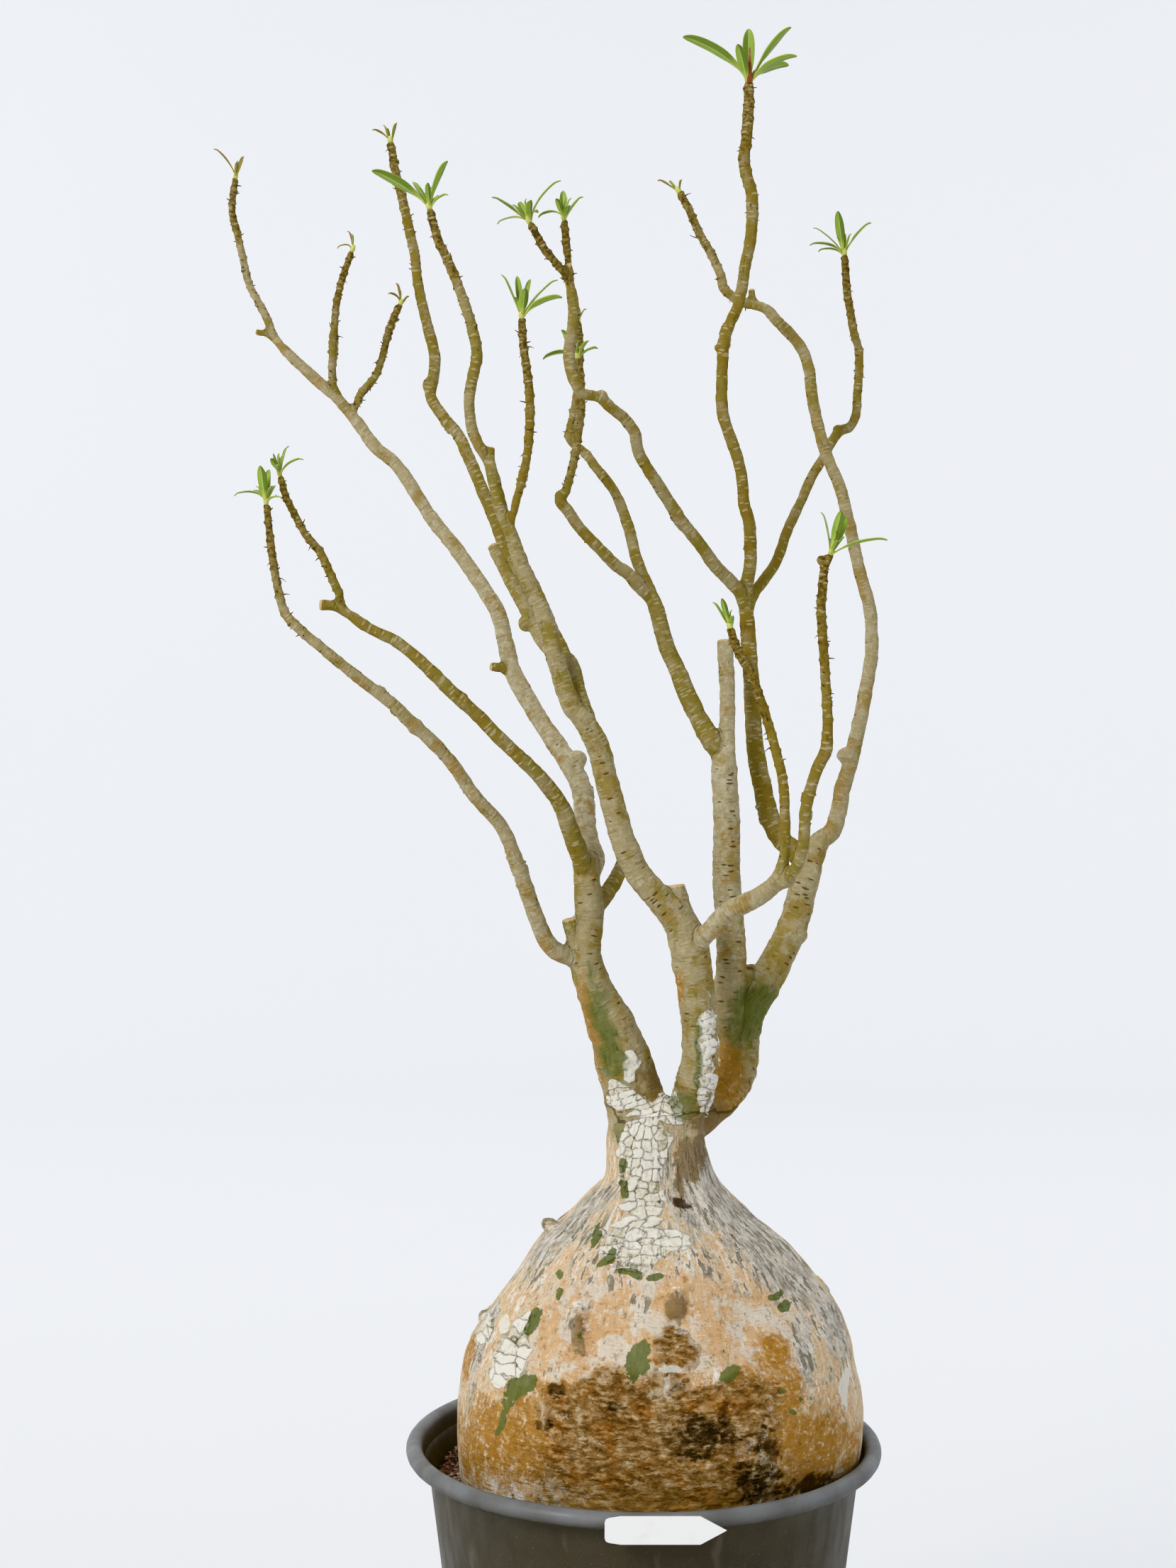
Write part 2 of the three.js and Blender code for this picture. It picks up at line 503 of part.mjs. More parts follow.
// Right stem: leans back and right, and carries the pale upright limb and the tallest shoots.
const RIGHT_LIMBS = {
  pale: [
    [60, 522, 25, 22], [55, 540, 22, 21], [54, 553.5, 22, 20], [56, 574, 21, 19.4],
    [55, 601, 21, 18.6], [53, 628, 21, 18], [53, 668, 22, 17.6], [51.6, 691, 23, 17],
    [51.6, 706, 24, 16], [52, 717, 25, 13],
  ],
  paleStump: [[52, 710, 25, 13], [53, 723, 27, 10.6], [53.4, 745, 31, 10], [51.8, 779, 36, 10.4]],
  fork: [
    [51, 704, 24, 14], [44, 715, 24, 13.6], [36, 728.5, 25, 12.6], [28, 745, 26, 12],
    [21, 762, 27, 11], [14, 778, 28, 10.5], [7.5, 802, 29, 10.4], [1, 815, 29, 10],
  ],
  forkBack: [
    [4, 808, 29, 9.4], [-1, 822, 34, 8], [-4.7, 832.5, 38, 7.6], [-9, 850, 44, 7.4],
    [-15.5, 868, 50, 7], [-19, 875, 53, 6.8], [-30, 889, 58, 6.4], [-37, 898, 61, 6.3],
    [-43, 903, 63, 6.3], [-47, 908.5, 64, 6], [-45.6, 916, 66, 5.7], [-43, 929, 68, 5.4],
    [-41, 947, 70, 5.2], [-40, 965, 71, 5], [-41, 980, 72, 4.6],
  ],
  forkFront: [
    [5, 806, 29, 9.6], [-1, 812, 28, 9.4], [-10, 822, 26, 8.5], [-17, 826.6, 25, 8],
    [-23.5, 833, 24, 7.7], [-37, 847, 22, 7.6], [-43, 854, 21, 7.6], [-48, 862, 20, 7.6],
    [-53, 868, 20, 7.2], [-49.6, 873, 20, 6], [-45.6, 886.5, 20, 5.6], [-43, 898, 20, 5.8],
    [-42, 907, 21, 6.2], [-40, 925, 22, 6.6], [-40, 934, 24, 6.2], [-40, 947, 28, 5.8],
    [-41.5, 956, 30, 5.3],
  ],
  mast: [
    [104.7, 637, 42, 15], [95, 646, 46, 13.6], [86.7, 654, 50, 13], [80, 668, 53, 12.8],
    [75.5, 687, 56, 12.3], [72, 705.5, 58, 11.6], [70, 727, 59, 11], [69, 749, 59, 10.6],
    [68, 763, 58, 10.3], [66.5, 785, 57, 10], [65.5, 799, 56, 10],
  ],
  mastTop: [
    [66, 790, 57, 9.6], [65.5, 812, 54, 9.2],
    [68, 827.5, 50, 8.4], [68, 842, 47, 8.2], [67, 856, 44, 8], [64, 866, 42, 7.9],
    [63, 880.6, 39, 7.7], [60, 894.6, 36, 7.7], [51.6, 919, 32, 7.7], [50, 929, 31, 7.9],
    [50, 943, 30, 7.7], [51.6, 969, 28, 7.6], [55, 980, 27, 7.5], [60, 991, 26, 7.5],
    [63, 1005, 25, 7.5], [65, 1018, 24, 7.8], [68, 1032, 23, 7.8], [69, 1046, 22, 7.9],
    [69, 1062, 21, 7.7], [66, 1073, 20, 7.5], [64, 1085, 19, 7.6], [65.5, 1096, 18, 7.5],
    [67, 1119, 16, 7.2], [67, 1131, 15, 6.6],
  ],
  crossing: [
    [65, 800, 55, 9], [60.6, 811, 50, 9], [54, 818, 46, 8.8], [45, 827.5, 40, 8.6],
    [37, 839, 34, 8.5], [28, 850, 28, 8.4], [19.6, 862, 22, 8.3], [11, 875.6, 16, 8.1],
    [3, 888, 11, 8], [-3, 899, 7, 8], [-5.5, 911, 3, 7.8], [-12, 920, 0, 7.6],
    [-20, 926.5, -3, 7.5], [-27, 933, -6, 7.5], [-32.6, 934.6, -8, 6.8], [-39, 936, -10, 7.2],
    [-43, 943, -11, 7.8], [-46, 952, -12, 8], [-47, 961, -13, 8], [-46, 970, -14, 7.8],
    [-44, 988, -16, 7.4], [-46.5, 1006, -18, 7.2], [-47.2, 1017, -19, 6.6],
  ],
  crossingLeft: [
    [-47.5, 1007, -18, 6], [-50.5, 1013, -22, 5.6], [-54.6, 1018, -26, 5.6],
    [-63, 1028, -32, 5.4], [-66, 1033.6, -34, 5.2], [-71, 1042.6, -37, 5],
  ],
  crossingUp: [
    [-47, 1010, -19, 6], [-48, 1024, -20, 5.6], [-49, 1033, -21, 5.2], [-50, 1044, -21, 4.8],
  ],
  outward: [
    [66, 798, 56, 8], [70.5, 809, 62, 7.6], [77, 818, 68, 7.3], [84.5, 829, 74, 7],
    [92, 850, 81, 6.8], [100, 867, 86, 6.6], [107, 883, 90, 6.5], [114, 894.5, 93, 6.4],
    [119, 904, 95, 6.4], [125, 912, 97, 6.8], [131, 914.5, 98, 6.4], [135, 922, 98, 5.9],
    [136, 936, 98, 5.9], [137, 949.5, 98, 5.7], [137, 963, 97, 5.7], [134, 974, 97, 5.4],
    [131.7, 987, 96, 5.4], [129.5, 1000, 95, 5.4], [128, 1022, 93, 4.8],
  ],
  far: [
    [106, 640, 40, 15], [111.5, 651, 42, 13], [120, 658, 45, 11.6], [124.5, 673, 48, 10.8],
    [127, 687, 50, 10.3], [131.7, 701.5, 52, 10], [135, 716, 54, 9.9], [138, 730, 56, 9.5],
    [143, 757, 58, 9.1], [145, 770, 59, 8.8],
  ],
  farTop: [
    [144, 764, 58.5, 8.6], [145, 785, 60, 8.6], [144, 799, 60, 8.5],
    [137, 825, 60, 8.2], [131.7, 849, 60, 8], [129, 861, 60, 8], [125, 876.5, 60, 7.9],
    [119, 890.5, 60, 7.9], [114, 904, 61, 7.8], [107, 936, 63, 7.7], [105.6, 949.5, 64, 7.6],
    [101.5, 963, 66, 7.6], [94, 973, 68, 7.5], [86, 981, 70, 7.4], [78, 989.5, 71, 7],
    [71, 992, 72, 6.8], [64, 993.5, 72, 6.4], [55, 999, 73, 6.4], [51, 1003, 73, 6.3],
    [49.5, 1010, 73, 6], [45, 1021, 74, 5.8], [39.5, 1031, 74, 5.6], [35, 1039, 74, 5.5],
    [28, 1055, 74, 5.2], [24, 1062, 74, 5],
  ],
  farStub: [[71, 992, 72, 5.6], [69.5, 997, 72, 5.6], [68.5, 1002, 72, 4.4]],
};
const RIGHT_KNOBS = [
  [[68, 565, 27], [20, 18, 18]],
  [[94, 592, 33], [21, 18, 16]],
  [[129, 706, 51], [13, 12, 11]],
  [[-26.5, 934.5, -6], [8, 8, 8]],
  [[-53, 870.5, 20], [7, 7, 8]],
  [[47, 965, 28], [4, 5, 5]],
  [[124, 913, 97], [8, 7, 7]],
];

// The limbs of one stem grow together as one piece, which starts at the crown.
function stem(trunk, limbs, knobs, grow = 0) {
  const whole = joined([
    limb(trunk, grow),
    ...Object.values(limbs).map((route) => limb(route, grow)),
    ...knobs.map(([place, size]) => knob(place, size, grow)),
  ]);
  return largestBody(whole.subtract(belowCrown(CROWN_LEVEL + GAP - grow)));
}

// ---------------------------------------------------------------------------------------------
// Leaf tufts
// ---------------------------------------------------------------------------------------------

// A leaf is a thin strap from the bud to its tip, widest past its middle and curved outwards.
// Its two faces stay parallel, so the strap is the same thickness all along.
function leaf(bud, budRadius, shoot, tip, width) {
  const reach = tip.clone().sub(bud);
  const away = reach.addScaledVector(shoot, -reach.dot(shoot)).normalize();
  const start = bud.clone().addScaledVector(away, budRadius * 0.75);
  const span = tip.clone().sub(start);
  const length = span.length();
  const outward = span.clone().addScaledVector(shoot, -span.dot(shoot));
  const isUpright = outward.length() < length * 0.12;
  const side = isUpright
    ? new THREE.Vector3(1, 0, 0)
    : new THREE.Vector3().crossVectors(shoot, outward).normalize();
  const rise = start.clone()
    .addScaledVector(shoot, length * 0.36)
    .addScaledVector(outward, 0.28);
  const middle = new THREE.QuadraticBezierCurve3(start, rise, tip);
  const steps = length > LONG_LEAF ? LEAF_STEPS + 2 : LEAF_STEPS;
  const strap = new THREE.BoxGeometry(1, 1, 1, 1, steps, 1);
  const position = strap.attributes.position;
  for (let i = 0; i < position.count; i += 1) {
    const along = position.getY(i) + 0.5;
    const halfWidth = (width / 2) * (0.34 + 0.66 * Math.sin(Math.PI * along ** 1.35) ** 0.7);
    const face = new THREE.Vector3().crossVectors(side, middle.getTangent(along)).normalize();
    const place = middle.getPoint(along)
      .addScaledVector(side, position.getX(i) * 2 * halfWidth)
      .addScaledVector(face, position.getZ(i) * LEAF_THICKNESS);
    position.setXYZ(i, place.x, place.y, place.z);
  }
  return solidOf(strap);
}

// Each tuft: the shoot it ends, the way the shoot points, and its leaves as
// [across, up, depth behind the shoot, width].
const TUFTS = {
  tuft_01: {
    route: LEFT_LIMBS.lowest,
    leaves: [
      [-260, 872, -6, 3.2], [-247, 875, 8, 3.4], [-243, 890, -4, 5.4], [-238, 888, 7, 4.6],
      [-229, 870, -5, 3.2], [-234, 878, 15, 4],
    ],
  },
  tuft_02: {
    route: LEFT_LIMBS.oliveTwig,
    leaves: [
      [-236, 895, -5, 4.2], [-226, 903, 4, 4.6], [-229, 896, 11, 3.6], [-216, 895, -4, 4],
      [-232, 891, -12, 3.4],
    ],
  },
  tuft_03: {
    route: LEFT_LIMBS.greyTop,
    leaves: [[-272, 1092, -4, 3.6], [-254, 1087, 3, 3.2], [-258, 1083, -6, 2.6]],
  },
  tuft_04: {
    route: LEFT_LIMBS.greyInnerTwig,
    leaves: [[-187, 1039.5, 0, 2.2], [-194.5, 1029, -3, 2.6]],
  },
  tuft_05: {
    route: LEFT_LIMBS.greyOuterTwig,
    leaves: [[-156, 1006, 2, 3], [-162, 1000, -4, 2.6], [-149.5, 998, 3, 2.8]],
  },
  tuft_06: {
    route: LEFT_LIMBS.hidden,
    leaves: [[-171.6, 1104, -2, 3.2], [-163, 1105, 6, 3.2], [-157, 1108, -4, 3.2]],
  },
  tuft_07: {
    route: MIDDLE_LIMBS.top,
    leaves: [
      [-172, 1078, -8, 6.6], [-125, 1084, -5, 5.2], [-146, 1071, 8, 4.2], [-137, 1070, -9, 4],
      [-130, 1062, 7, 3.4], [-124, 1063, -4, 3.2], [-134, 1068, 15, 4.4],
    ],
  },
  tuft_08: {
    route: MIDDLE_LIMBS.upperTwig,
    leaves: [
      [-89, 1012, -4, 4.4], [-80, 1011, 8, 4.2], [-75, 1003, -10, 5.6], [-72, 1009, 5, 4],
      [-55, 1009, 3, 4.4], [-51.5, 998, -7, 5.6],
    ],
  },
  tuft_09: {
    route: RIGHT_LIMBS.crossingLeft,
    leaves: [
      [-95.5, 1061.5, -5, 5.2], [-93, 1044.5, 5, 3.6], [-79, 1058, 7, 4.2],
      [-72, 1059, -9, 5.6], [-67, 1052, 8, 4.2], [-53, 1072, -3, 4.4],
    ],
  },
  tuft_10: {
    route: RIGHT_LIMBS.crossingUp,
    leaves: [
      [-67, 1048.5, 4, 3.6], [-55, 1060, -6, 4.2], [-51, 1065, 6, 4.8], [-39, 1061.5, 2, 4.2],
      [-47, 1056, -10, 4],
    ],
  },
  tuft_11: {
    route: RIGHT_LIMBS.forkFront,
    leaves: [
      [-51, 976.5, 3, 5.2], [-64, 958.5, 4, 4.4], [-35, 970, -4, 3.2], [-29, 965.5, 5, 3.8],
    ],
  },
  tuft_12: {
    route: RIGHT_LIMBS.forkBack,
    leaves: [[-44.5, 992, 5, 3.2], [-37, 990, 3, 3.2], [-41, 991, -5, 3]],
  },
  tuft_13: {
    route: RIGHT_LIMBS.mastTop,
    leaves: [
      [25.5, 1163, -7, 7.4], [67, 1168, 12, 7.8], [93, 1169, 4, 6.6], [97.5, 1151, -9, 5.4],
      [92, 1145, 8, 6.8], [60, 1158, -14, 6.4],
    ],
  },
  tuft_14: {
    route: RIGHT_LIMBS.farTop,
    leaves: [[9.7, 1072, 3, 4.4], [24, 1072, -4, 2.6]],
  },
  tuft_15: {
    route: RIGHT_LIMBS.outward,
    leaves: [
      [123.5, 1051.6, -5, 6], [144, 1045, 4, 5], [108.5, 1042, 6, 2.8], [105.6, 1031, -4, 4.2],
      [111, 1027, 7, 3.6],
    ],
  },
  tuft_16: {
    route: MIDDLE_LIMBS.lowInner,
    leaves: [[50, 806, -5, 4], [45, 804, 5, 3.2], [56.5, 795, -3, 4]],
  },
  tuft_17: {
    route: MIDDLE_LIMBS.lowOuter,
    leaves: [
      [126, 861.5, -5, 6], [129, 858, 5, 5.4], [114, 861, 4, 3.6], [155, 844, -2, 4.4],
      [124, 843, -11, 3.4],
    ],
  },
};

// The leaves leave a small green bud that stands just clear of the shoot's bark.
function tuft({ route, leaves }) {
  const [across, up, depth, thickness] = route.at(-1);
  const end = seen(across, up, depth);
  const shoot = end.clone().sub(seen(...route.at(-2))).normalize();
  const budRadius = thickness * 0.4;
  const centre = end.clone().addScaledVector(shoot, GAP + BUD_HALF_HEIGHT);
  const bud = new THREE.SphereGeometry(1, 6, 4).scale(budRadius, BUD_HALF_HEIGHT, budRadius);
  bud.applyQuaternion(
    new THREE.Quaternion().setFromUnitVectors(new THREE.Vector3(0, 1, 0), shoot),
  );
  bud.translate(centre.x, centre.y, centre.z);
  const blades = leaves.map(([tipAcross, tipUp, behind, width], i) => {
    const height = BUD_HALF_HEIGHT * 0.55 * (1 - (2 * i) / leaves.length);
    const joint = centre.clone().addScaledVector(shoot, height);
    return leaf(joint, budRadius, shoot, seen(tipAcross, tipUp, depth + behind), width);
  });
  return joined([solidOf(bud), ...blades]);
}

// ---------------------------------------------------------------------------------------------
// The whole plant in its pot
// ---------------------------------------------------------------------------------------------

function material(color, roughness, metalness = 0) {
  return new THREE.MeshStandardMaterial({ color, roughness, metalness });
}

const potPlastic = () => material(0x55524c, 0.62);
const mix = () => material(0x5a4238, 0.95);
const tagPlastic = () => material(0xf4f4f0, 0.45);
const oldBark = () => material(0xc9b48e, 0.85);
const stemBark = () => material(0x8d8055, 0.8);
const leafGreen = () => material(0x6f9a3c, 0.5);

const plant = new THREE.Group();
plant.name = 'potted_desert_rose';

plant.add(meshOf('pot', pot(), potPlastic()));
plant.add(meshOf('soil', soil(swollenBase(HOLE_CLEARANCE)), mix()));
plant.add(meshOf('label', tag(), tagPlastic()));
plant.add(meshOf('caudex', swollenBase(), oldBark()));
plant.add(meshOf('stem_left', stem(LEFT_TRUNK, LEFT_LIMBS, LEFT_KNOBS), stemBark()));
plant.add(meshOf('stem_middle', stem(MIDDLE_TRUNK, MIDDLE_LIMBS, MIDDLE_KNOBS), stemBark()));
plant.add(meshOf('stem_right', stem(RIGHT_TRUNK, RIGHT_LIMBS, RIGHT_KNOBS), stemBark()));
for (const [name, cluster] of Object.entries(TUFTS)) {
  plant.add(meshOf(name, tuft(cluster), leafGreen()));
}

export default plant;
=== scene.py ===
import math
import random

import bmesh
import bpy
import numpy as np
from mathutils import Matrix, Vector, geometry, noise


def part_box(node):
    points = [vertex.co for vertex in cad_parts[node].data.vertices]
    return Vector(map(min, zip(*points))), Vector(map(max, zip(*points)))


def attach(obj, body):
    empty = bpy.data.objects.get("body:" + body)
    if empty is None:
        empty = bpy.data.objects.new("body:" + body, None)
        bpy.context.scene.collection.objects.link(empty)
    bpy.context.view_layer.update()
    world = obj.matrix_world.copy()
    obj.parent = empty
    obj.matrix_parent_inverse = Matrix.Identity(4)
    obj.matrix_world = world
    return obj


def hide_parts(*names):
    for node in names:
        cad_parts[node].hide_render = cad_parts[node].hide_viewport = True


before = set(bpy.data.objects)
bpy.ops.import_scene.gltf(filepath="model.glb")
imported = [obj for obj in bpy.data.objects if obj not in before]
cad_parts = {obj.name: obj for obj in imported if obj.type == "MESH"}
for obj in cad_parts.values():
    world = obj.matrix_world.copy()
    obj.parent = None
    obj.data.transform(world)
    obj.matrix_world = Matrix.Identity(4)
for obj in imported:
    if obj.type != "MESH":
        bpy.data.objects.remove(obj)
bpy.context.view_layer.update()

# ------------------------------------------------------------------------------------------------
# Viewpoint: level with the middle of the plant and square on to the front of the pot.
# The routes of the stems are written as they are seen from here, in millimetres.
# ------------------------------------------------------------------------------------------------

MM = 0.001
EYE = Vector((-35, -1350, 688)) * MM
LENS = 48.82
SENSOR_WIDTH = 36

camera = bpy.data.objects.new("camera", bpy.data.cameras.new("camera"))
camera.data.lens = LENS
camera.data.sensor_width = SENSOR_WIDTH
camera.location = EYE
camera.rotation_euler = (math.pi / 2, 0, 0)
bpy.context.scene.collection.objects.link(camera)
bpy.context.scene.camera = camera

# ------------------------------------------------------------------------------------------------
# Pot: a round nursery pot with a rolled rim, moulded in one piece from dark recycled plastic.
# Its wall is thin, its foot has six drain holes, and its rim carries a paler painted highlight along
# its top.
# ------------------------------------------------------------------------------------------------


def linear(red, green, blue):
    """A colour as it is mixed on screen, 0 to 255, as the linear colour that a shader takes."""
    return (*[((c / 255 + 0.055) / 1.055) ** 2.4 for c in (red, green, blue)], 1)


class Finish:
    """A procedural material that is built up node by node."""

    def __init__(self, name, roughness, **shader_values):
        self.material = bpy.data.materials.new(name)
        self.material.use_nodes = True
        self.tree = self.material.node_tree
        self.shader = self.tree.nodes["Principled BSDF"]
        self.shader.inputs["Roughness"].default_value = roughness
        for socket, value in shader_values.items():
            self.shader.inputs[socket.replace("_", " ")].default_value = value
        self.place = self.add("TexCoord").outputs["Object"]

    def add(self, kind, inputs=(), **settings):
        node = self.tree.nodes.new("ShaderNode" + kind)
        for setting, value in settings.items():
            setattr(node, setting, value)
        for socket, value in dict(inputs).items():
            if isinstance(value, bpy.types.NodeSocket):
                self.tree.links.new(value, node.inputs[socket])
            else:
                node.inputs[socket].default_value = value
        return node

    def to_shader(self, socket, value):
        self.tree.links.new(value, self.shader.inputs[socket])

    def painted(self, name):
        """The value that a piece's mesh carries at each point under this name."""
        return self.add("Attribute", attribute_name=name)

    def math(self, operation, a, b=0.0, c=0.0):
        return self.add("Math", {0: a, 1: b, 2: c}, operation=operation).outputs[0]

    def both(self, share, other):
        """How much of two effects shows where one is seen through the other."""
        return self.math("MULTIPLY", share, other)

    def scaled(self, value, factor, offset):
        return self.math("MULTIPLY_ADD", value, factor, offset)

    def between(self, value, low, high, start=0.0, end=1.0):
        """`value` from low to high, turned smoothly into start to end."""
        sockets = {"Value": value, "From Min": low, "From Max": high, "To Min": start, "To Max": end}
        return self.add("MapRange", sockets, interpolation_type="SMOOTHSTEP").outputs["Result"]

    def mixed(self, share, first, second, blend="MIX"):
        sockets = {0: share, 6: first, 7: second}
        return self.add("Mix", sockets, data_type="RGBA", blend_type=blend).outputs[2]

    def stretched(self, place, x, y, z):
        return self.add("Mapping", {"Vector": place, "Scale": (x, y, z)}).outputs[0]

    def mottle(self, place, size, detail=3.0, roughness=0.55, warp=0.0):
        """Cloudy noise from 0 to 1 whose clouds are about `size` metres across."""
        sockets = {
            "Vector": place,
            "Scale": 1 / size,
            "Detail": detail,
            "Roughness": roughness,
            "Distortion": warp,
        }
        return self.add("TexNoise", sockets).outputs[0]

    def ramp(self, value, stops):
        """Colours by value, from [value, colour] pairs."""
        node = self.add("ValToRGB", {"Fac": value})
        while len(node.color_ramp.elements) < len(stops):
            node.color_ramp.elements.new(0.5)
        for element, (position, colour) in zip(node.color_ramp.elements, stops):
            element.position = position
            element.color = colour
        return node.outputs["Color"]

    def bumps(self, *layers):
        """Stacks [height value, depth in metres] layers into one bumped normal."""
        normal = None
        for height, depth in layers:
            sockets = {"Height": height, "Distance": depth, "Strength": 1.0}
            if normal:
                sockets["Normal"] = normal
            normal = self.add("Bump", sockets).outputs["Normal"]
        self.to_shader("Normal", normal)


def settled(name, mesh, finish, slot, *nodes):
    """A finished mesh as a named piece that rides on the plant and stands for its CAD nodes."""
    mesh.name = name
    piece = bpy.data.objects.new(name, mesh)
    bpy.context.scene.collection.objects.link(piece)
    mesh.materials.clear()
    mesh.materials.append(finish)
    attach(piece, "root")
    if nodes:
        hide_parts(*nodes)


def mesh_from(bm, smooth=True):
    for face in bm.faces:
        face.smooth = smooth
    mesh = bpy.data.meshes.new("shape")
    bm.to_mesh(mesh)
    bm.free()
    return mesh


def applied(mesh, *modifiers):
    """The mesh with [kind, settings] modifiers applied to it."""
    carrier = bpy.data.objects.new("carrier", mesh)
    bpy.context.scene.collection.objects.link(carrier)
    for kind, settings in modifiers:
        modifier = carrier.modifiers.new(kind.lower(), kind)
        for setting, value in settings.items():
            setattr(modifier, setting, value)
    depsgraph = bpy.context.evaluated_depsgraph_get()
    result = bpy.data.meshes.new_from_object(carrier.evaluated_get(depsgraph))
    bpy.data.objects.remove(carrier)
    return result


RIM_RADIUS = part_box("pot")[1].x
POT_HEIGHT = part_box("pot")[1].z
LIP_RADIUS = 0.0052          # of the roll itself
FOOT_RADIUS = 0.103
HUB_RADIUS = 0.03            # of the flat middle of its underside
RING_RADIUS = 0.083          # of the inner edge of the ring that it stands on
HOLLOW = 0.004               # how deep the underside is between the two
WALL = 0.0024
WALL_TOP = POT_HEIGHT - 0.024
WALL_TOP_RADIUS = RIM_RADIUS - 0.0155
POT_FLOOR = 0.007
DRAIN_HOLES = 6
DRAIN_HOLE_RADIUS = 0.005
DRAIN_CIRCLE_RADIUS = 0.06
POT_SIDES = 128


def turned(outline, sides):
    """A closed solid turned round the upright axis from [radius, height] points."""
    bm = bmesh.new()
    corners = [bm.verts.new((radius, 0, height)) for radius, height in outline]
    edges = [bm.edges.new(pair) for pair in zip(corners, corners[1:])]
    bmesh.ops.spin(
        bm, geom=corners + edges, axis=(0, 0, 1), cent=(0, 0, 0), steps=sides,
        angle=2 * math.pi, use_merge=True,
    )
    bmesh.ops.remove_doubles(bm, verts=bm.verts, dist=1e-6)
    bmesh.ops.recalc_face_normals(bm, faces=bm.faces)
    return bm


def wall_radius(height):
    return FOOT_RADIUS + (WALL_TOP_RADIUS - FOOT_RADIUS) * height / WALL_TOP


lip_middle, lip_height = RIM_RADIUS - LIP_RADIUS, POT_HEIGHT - LIP_RADIUS
lip = [
    (lip_middle + LIP_RADIUS * math.cos(turn), lip_height + LIP_RADIUS * math.sin(turn))
    for turn in np.linspace(-0.45 * math.pi, 1.0 * math.pi, 15)
]
pot = turned([
    (0, 0), (HUB_RADIUS, 0), (HUB_RADIUS + 0.003, HOLLOW), (RING_RADIUS - 0.003, HOLLOW),
    (RING_RADIUS, 0),
    (wall_radius(0.003) - 0.003, 0), (wall_radius(0.001) - 0.0008, 0.0008),
    (wall_radius(0.003), 0.003), (wall_radius(0.09), 0.09), (wall_radius(0.18), 0.18),
    (WALL_TOP_RADIUS - 0.0002, WALL_TOP - 0.004), (WALL_TOP_RADIUS + 0.0012, WALL_TOP + 0.006),
    (WALL_TOP_RADIUS + 0.0032, WALL_TOP + 0.0112), (RIM_RADIUS - 0.010, POT_HEIGHT - 0.0112),
    *lip,
    (WALL_TOP_RADIUS + 0.0045, WALL_TOP + 0.013), (WALL_TOP_RADIUS - WALL, WALL_TOP - 0.001),
    (wall_radius(0.13) - WALL, 0.13), (wall_radius(POT_FLOOR) - WALL - 0.001, POT_FLOOR + 0.002),
    (wall_radius(POT_FLOOR) - WALL - 0.004, POT_FLOOR), (0, POT_FLOOR),
], POT_SIDES)

drills = bmesh.new()
for hole in range(DRAIN_HOLES):
    angle = (hole + 0.5) / DRAIN_HOLES * 2 * math.pi
    centre = Vector((math.cos(angle), math.sin(angle), 0)) * DRAIN_CIRCLE_RADIUS
    bmesh.ops.create_cone(
        drills, cap_ends=True, segments=24, radius1=DRAIN_HOLE_RADIUS, radius2=DRAIN_HOLE_RADIUS,
        depth=POT_FLOOR * 4, matrix=Matrix.Translation(centre),
    )
drill_piece = bpy.data.objects.new("drills", mesh_from(drills))
bpy.context.scene.collection.objects.link(drill_piece)
pot_mesh = applied(
    mesh_from(pot), ("BOOLEAN", {"operation": "DIFFERENCE", "object": drill_piece, "solver": "EXACT"})
)
bpy.data.objects.remove(drill_piece)
pot_mesh.set_sharp_from_angle(angle=math.radians(50))

plastic = Finish("pot_plastic", 0.5, Specular_IOR_Level=0.35)
height = plastic.add("SeparateXYZ", {0: plastic.place}).outputs["Z"]
cloud = plastic.mottle(plastic.place, 0.03, 4)
speck = plastic.mottle(plastic.place, 0.0011, 2)
colour = plastic.mixed(cloud, linear(60, 54, 42), linear(84, 78, 64))
colour = plastic.mixed(plastic.between(speck, 0.62, 0.75, 0, 0.35), colour, linear(128, 122, 112))
# painted highlight: a paler grey band along the top of the rim, broken up by the clouds
rim_highlight = plastic.both(
    plastic.between(height, POT_HEIGHT - 0.011, POT_HEIGHT - 0.003),
    plastic.between(cloud, 0.25, 0.7, 0.55, 1.0),
)
colour = plastic.mixed(rim_highlight, colour, linear(122, 124, 125))
dust = plastic.mottle(plastic.stretched(plastic.place, 1, 1, 0.25), 0.012, 5)
colour = plastic.mixed(plastic.between(dust, 0.55, 0.8, 0, 0.3), colour, linear(146, 138, 124))
plastic.to_shader("Base Color", colour)
plastic.to_shader("Roughness", plastic.between(dust, 0.3, 0.8, 0.42, 0.68))
plastic.bumps((speck, 0.00012), (plastic.mottle(plastic.place, 0.02, 2), 0.0004))
settled("nursery_pot", pot_mesh, plastic.material, "pot_plastic", "pot")

# ------------------------------------------------------------------------------------------------
# Potting mix: coarse reddish grit and bark crumbs, which fill the pot to two fingers below the rim.
# The bed is one settled mass; the grit that lies loose on top of it is piled against the plant.
# ------------------------------------------------------------------------------------------------

SOIL_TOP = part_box("soil")[1].z - 0.0035
SOIL_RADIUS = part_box("soil")[1].x
GRIT_STONES = 2600
GRIT_SIZES = (0.0009, 0.0024)
LARGE_STONE_EVERY = 17
GRIT_FROM = 0.110            # the loose grit starts at this radius, against the plant

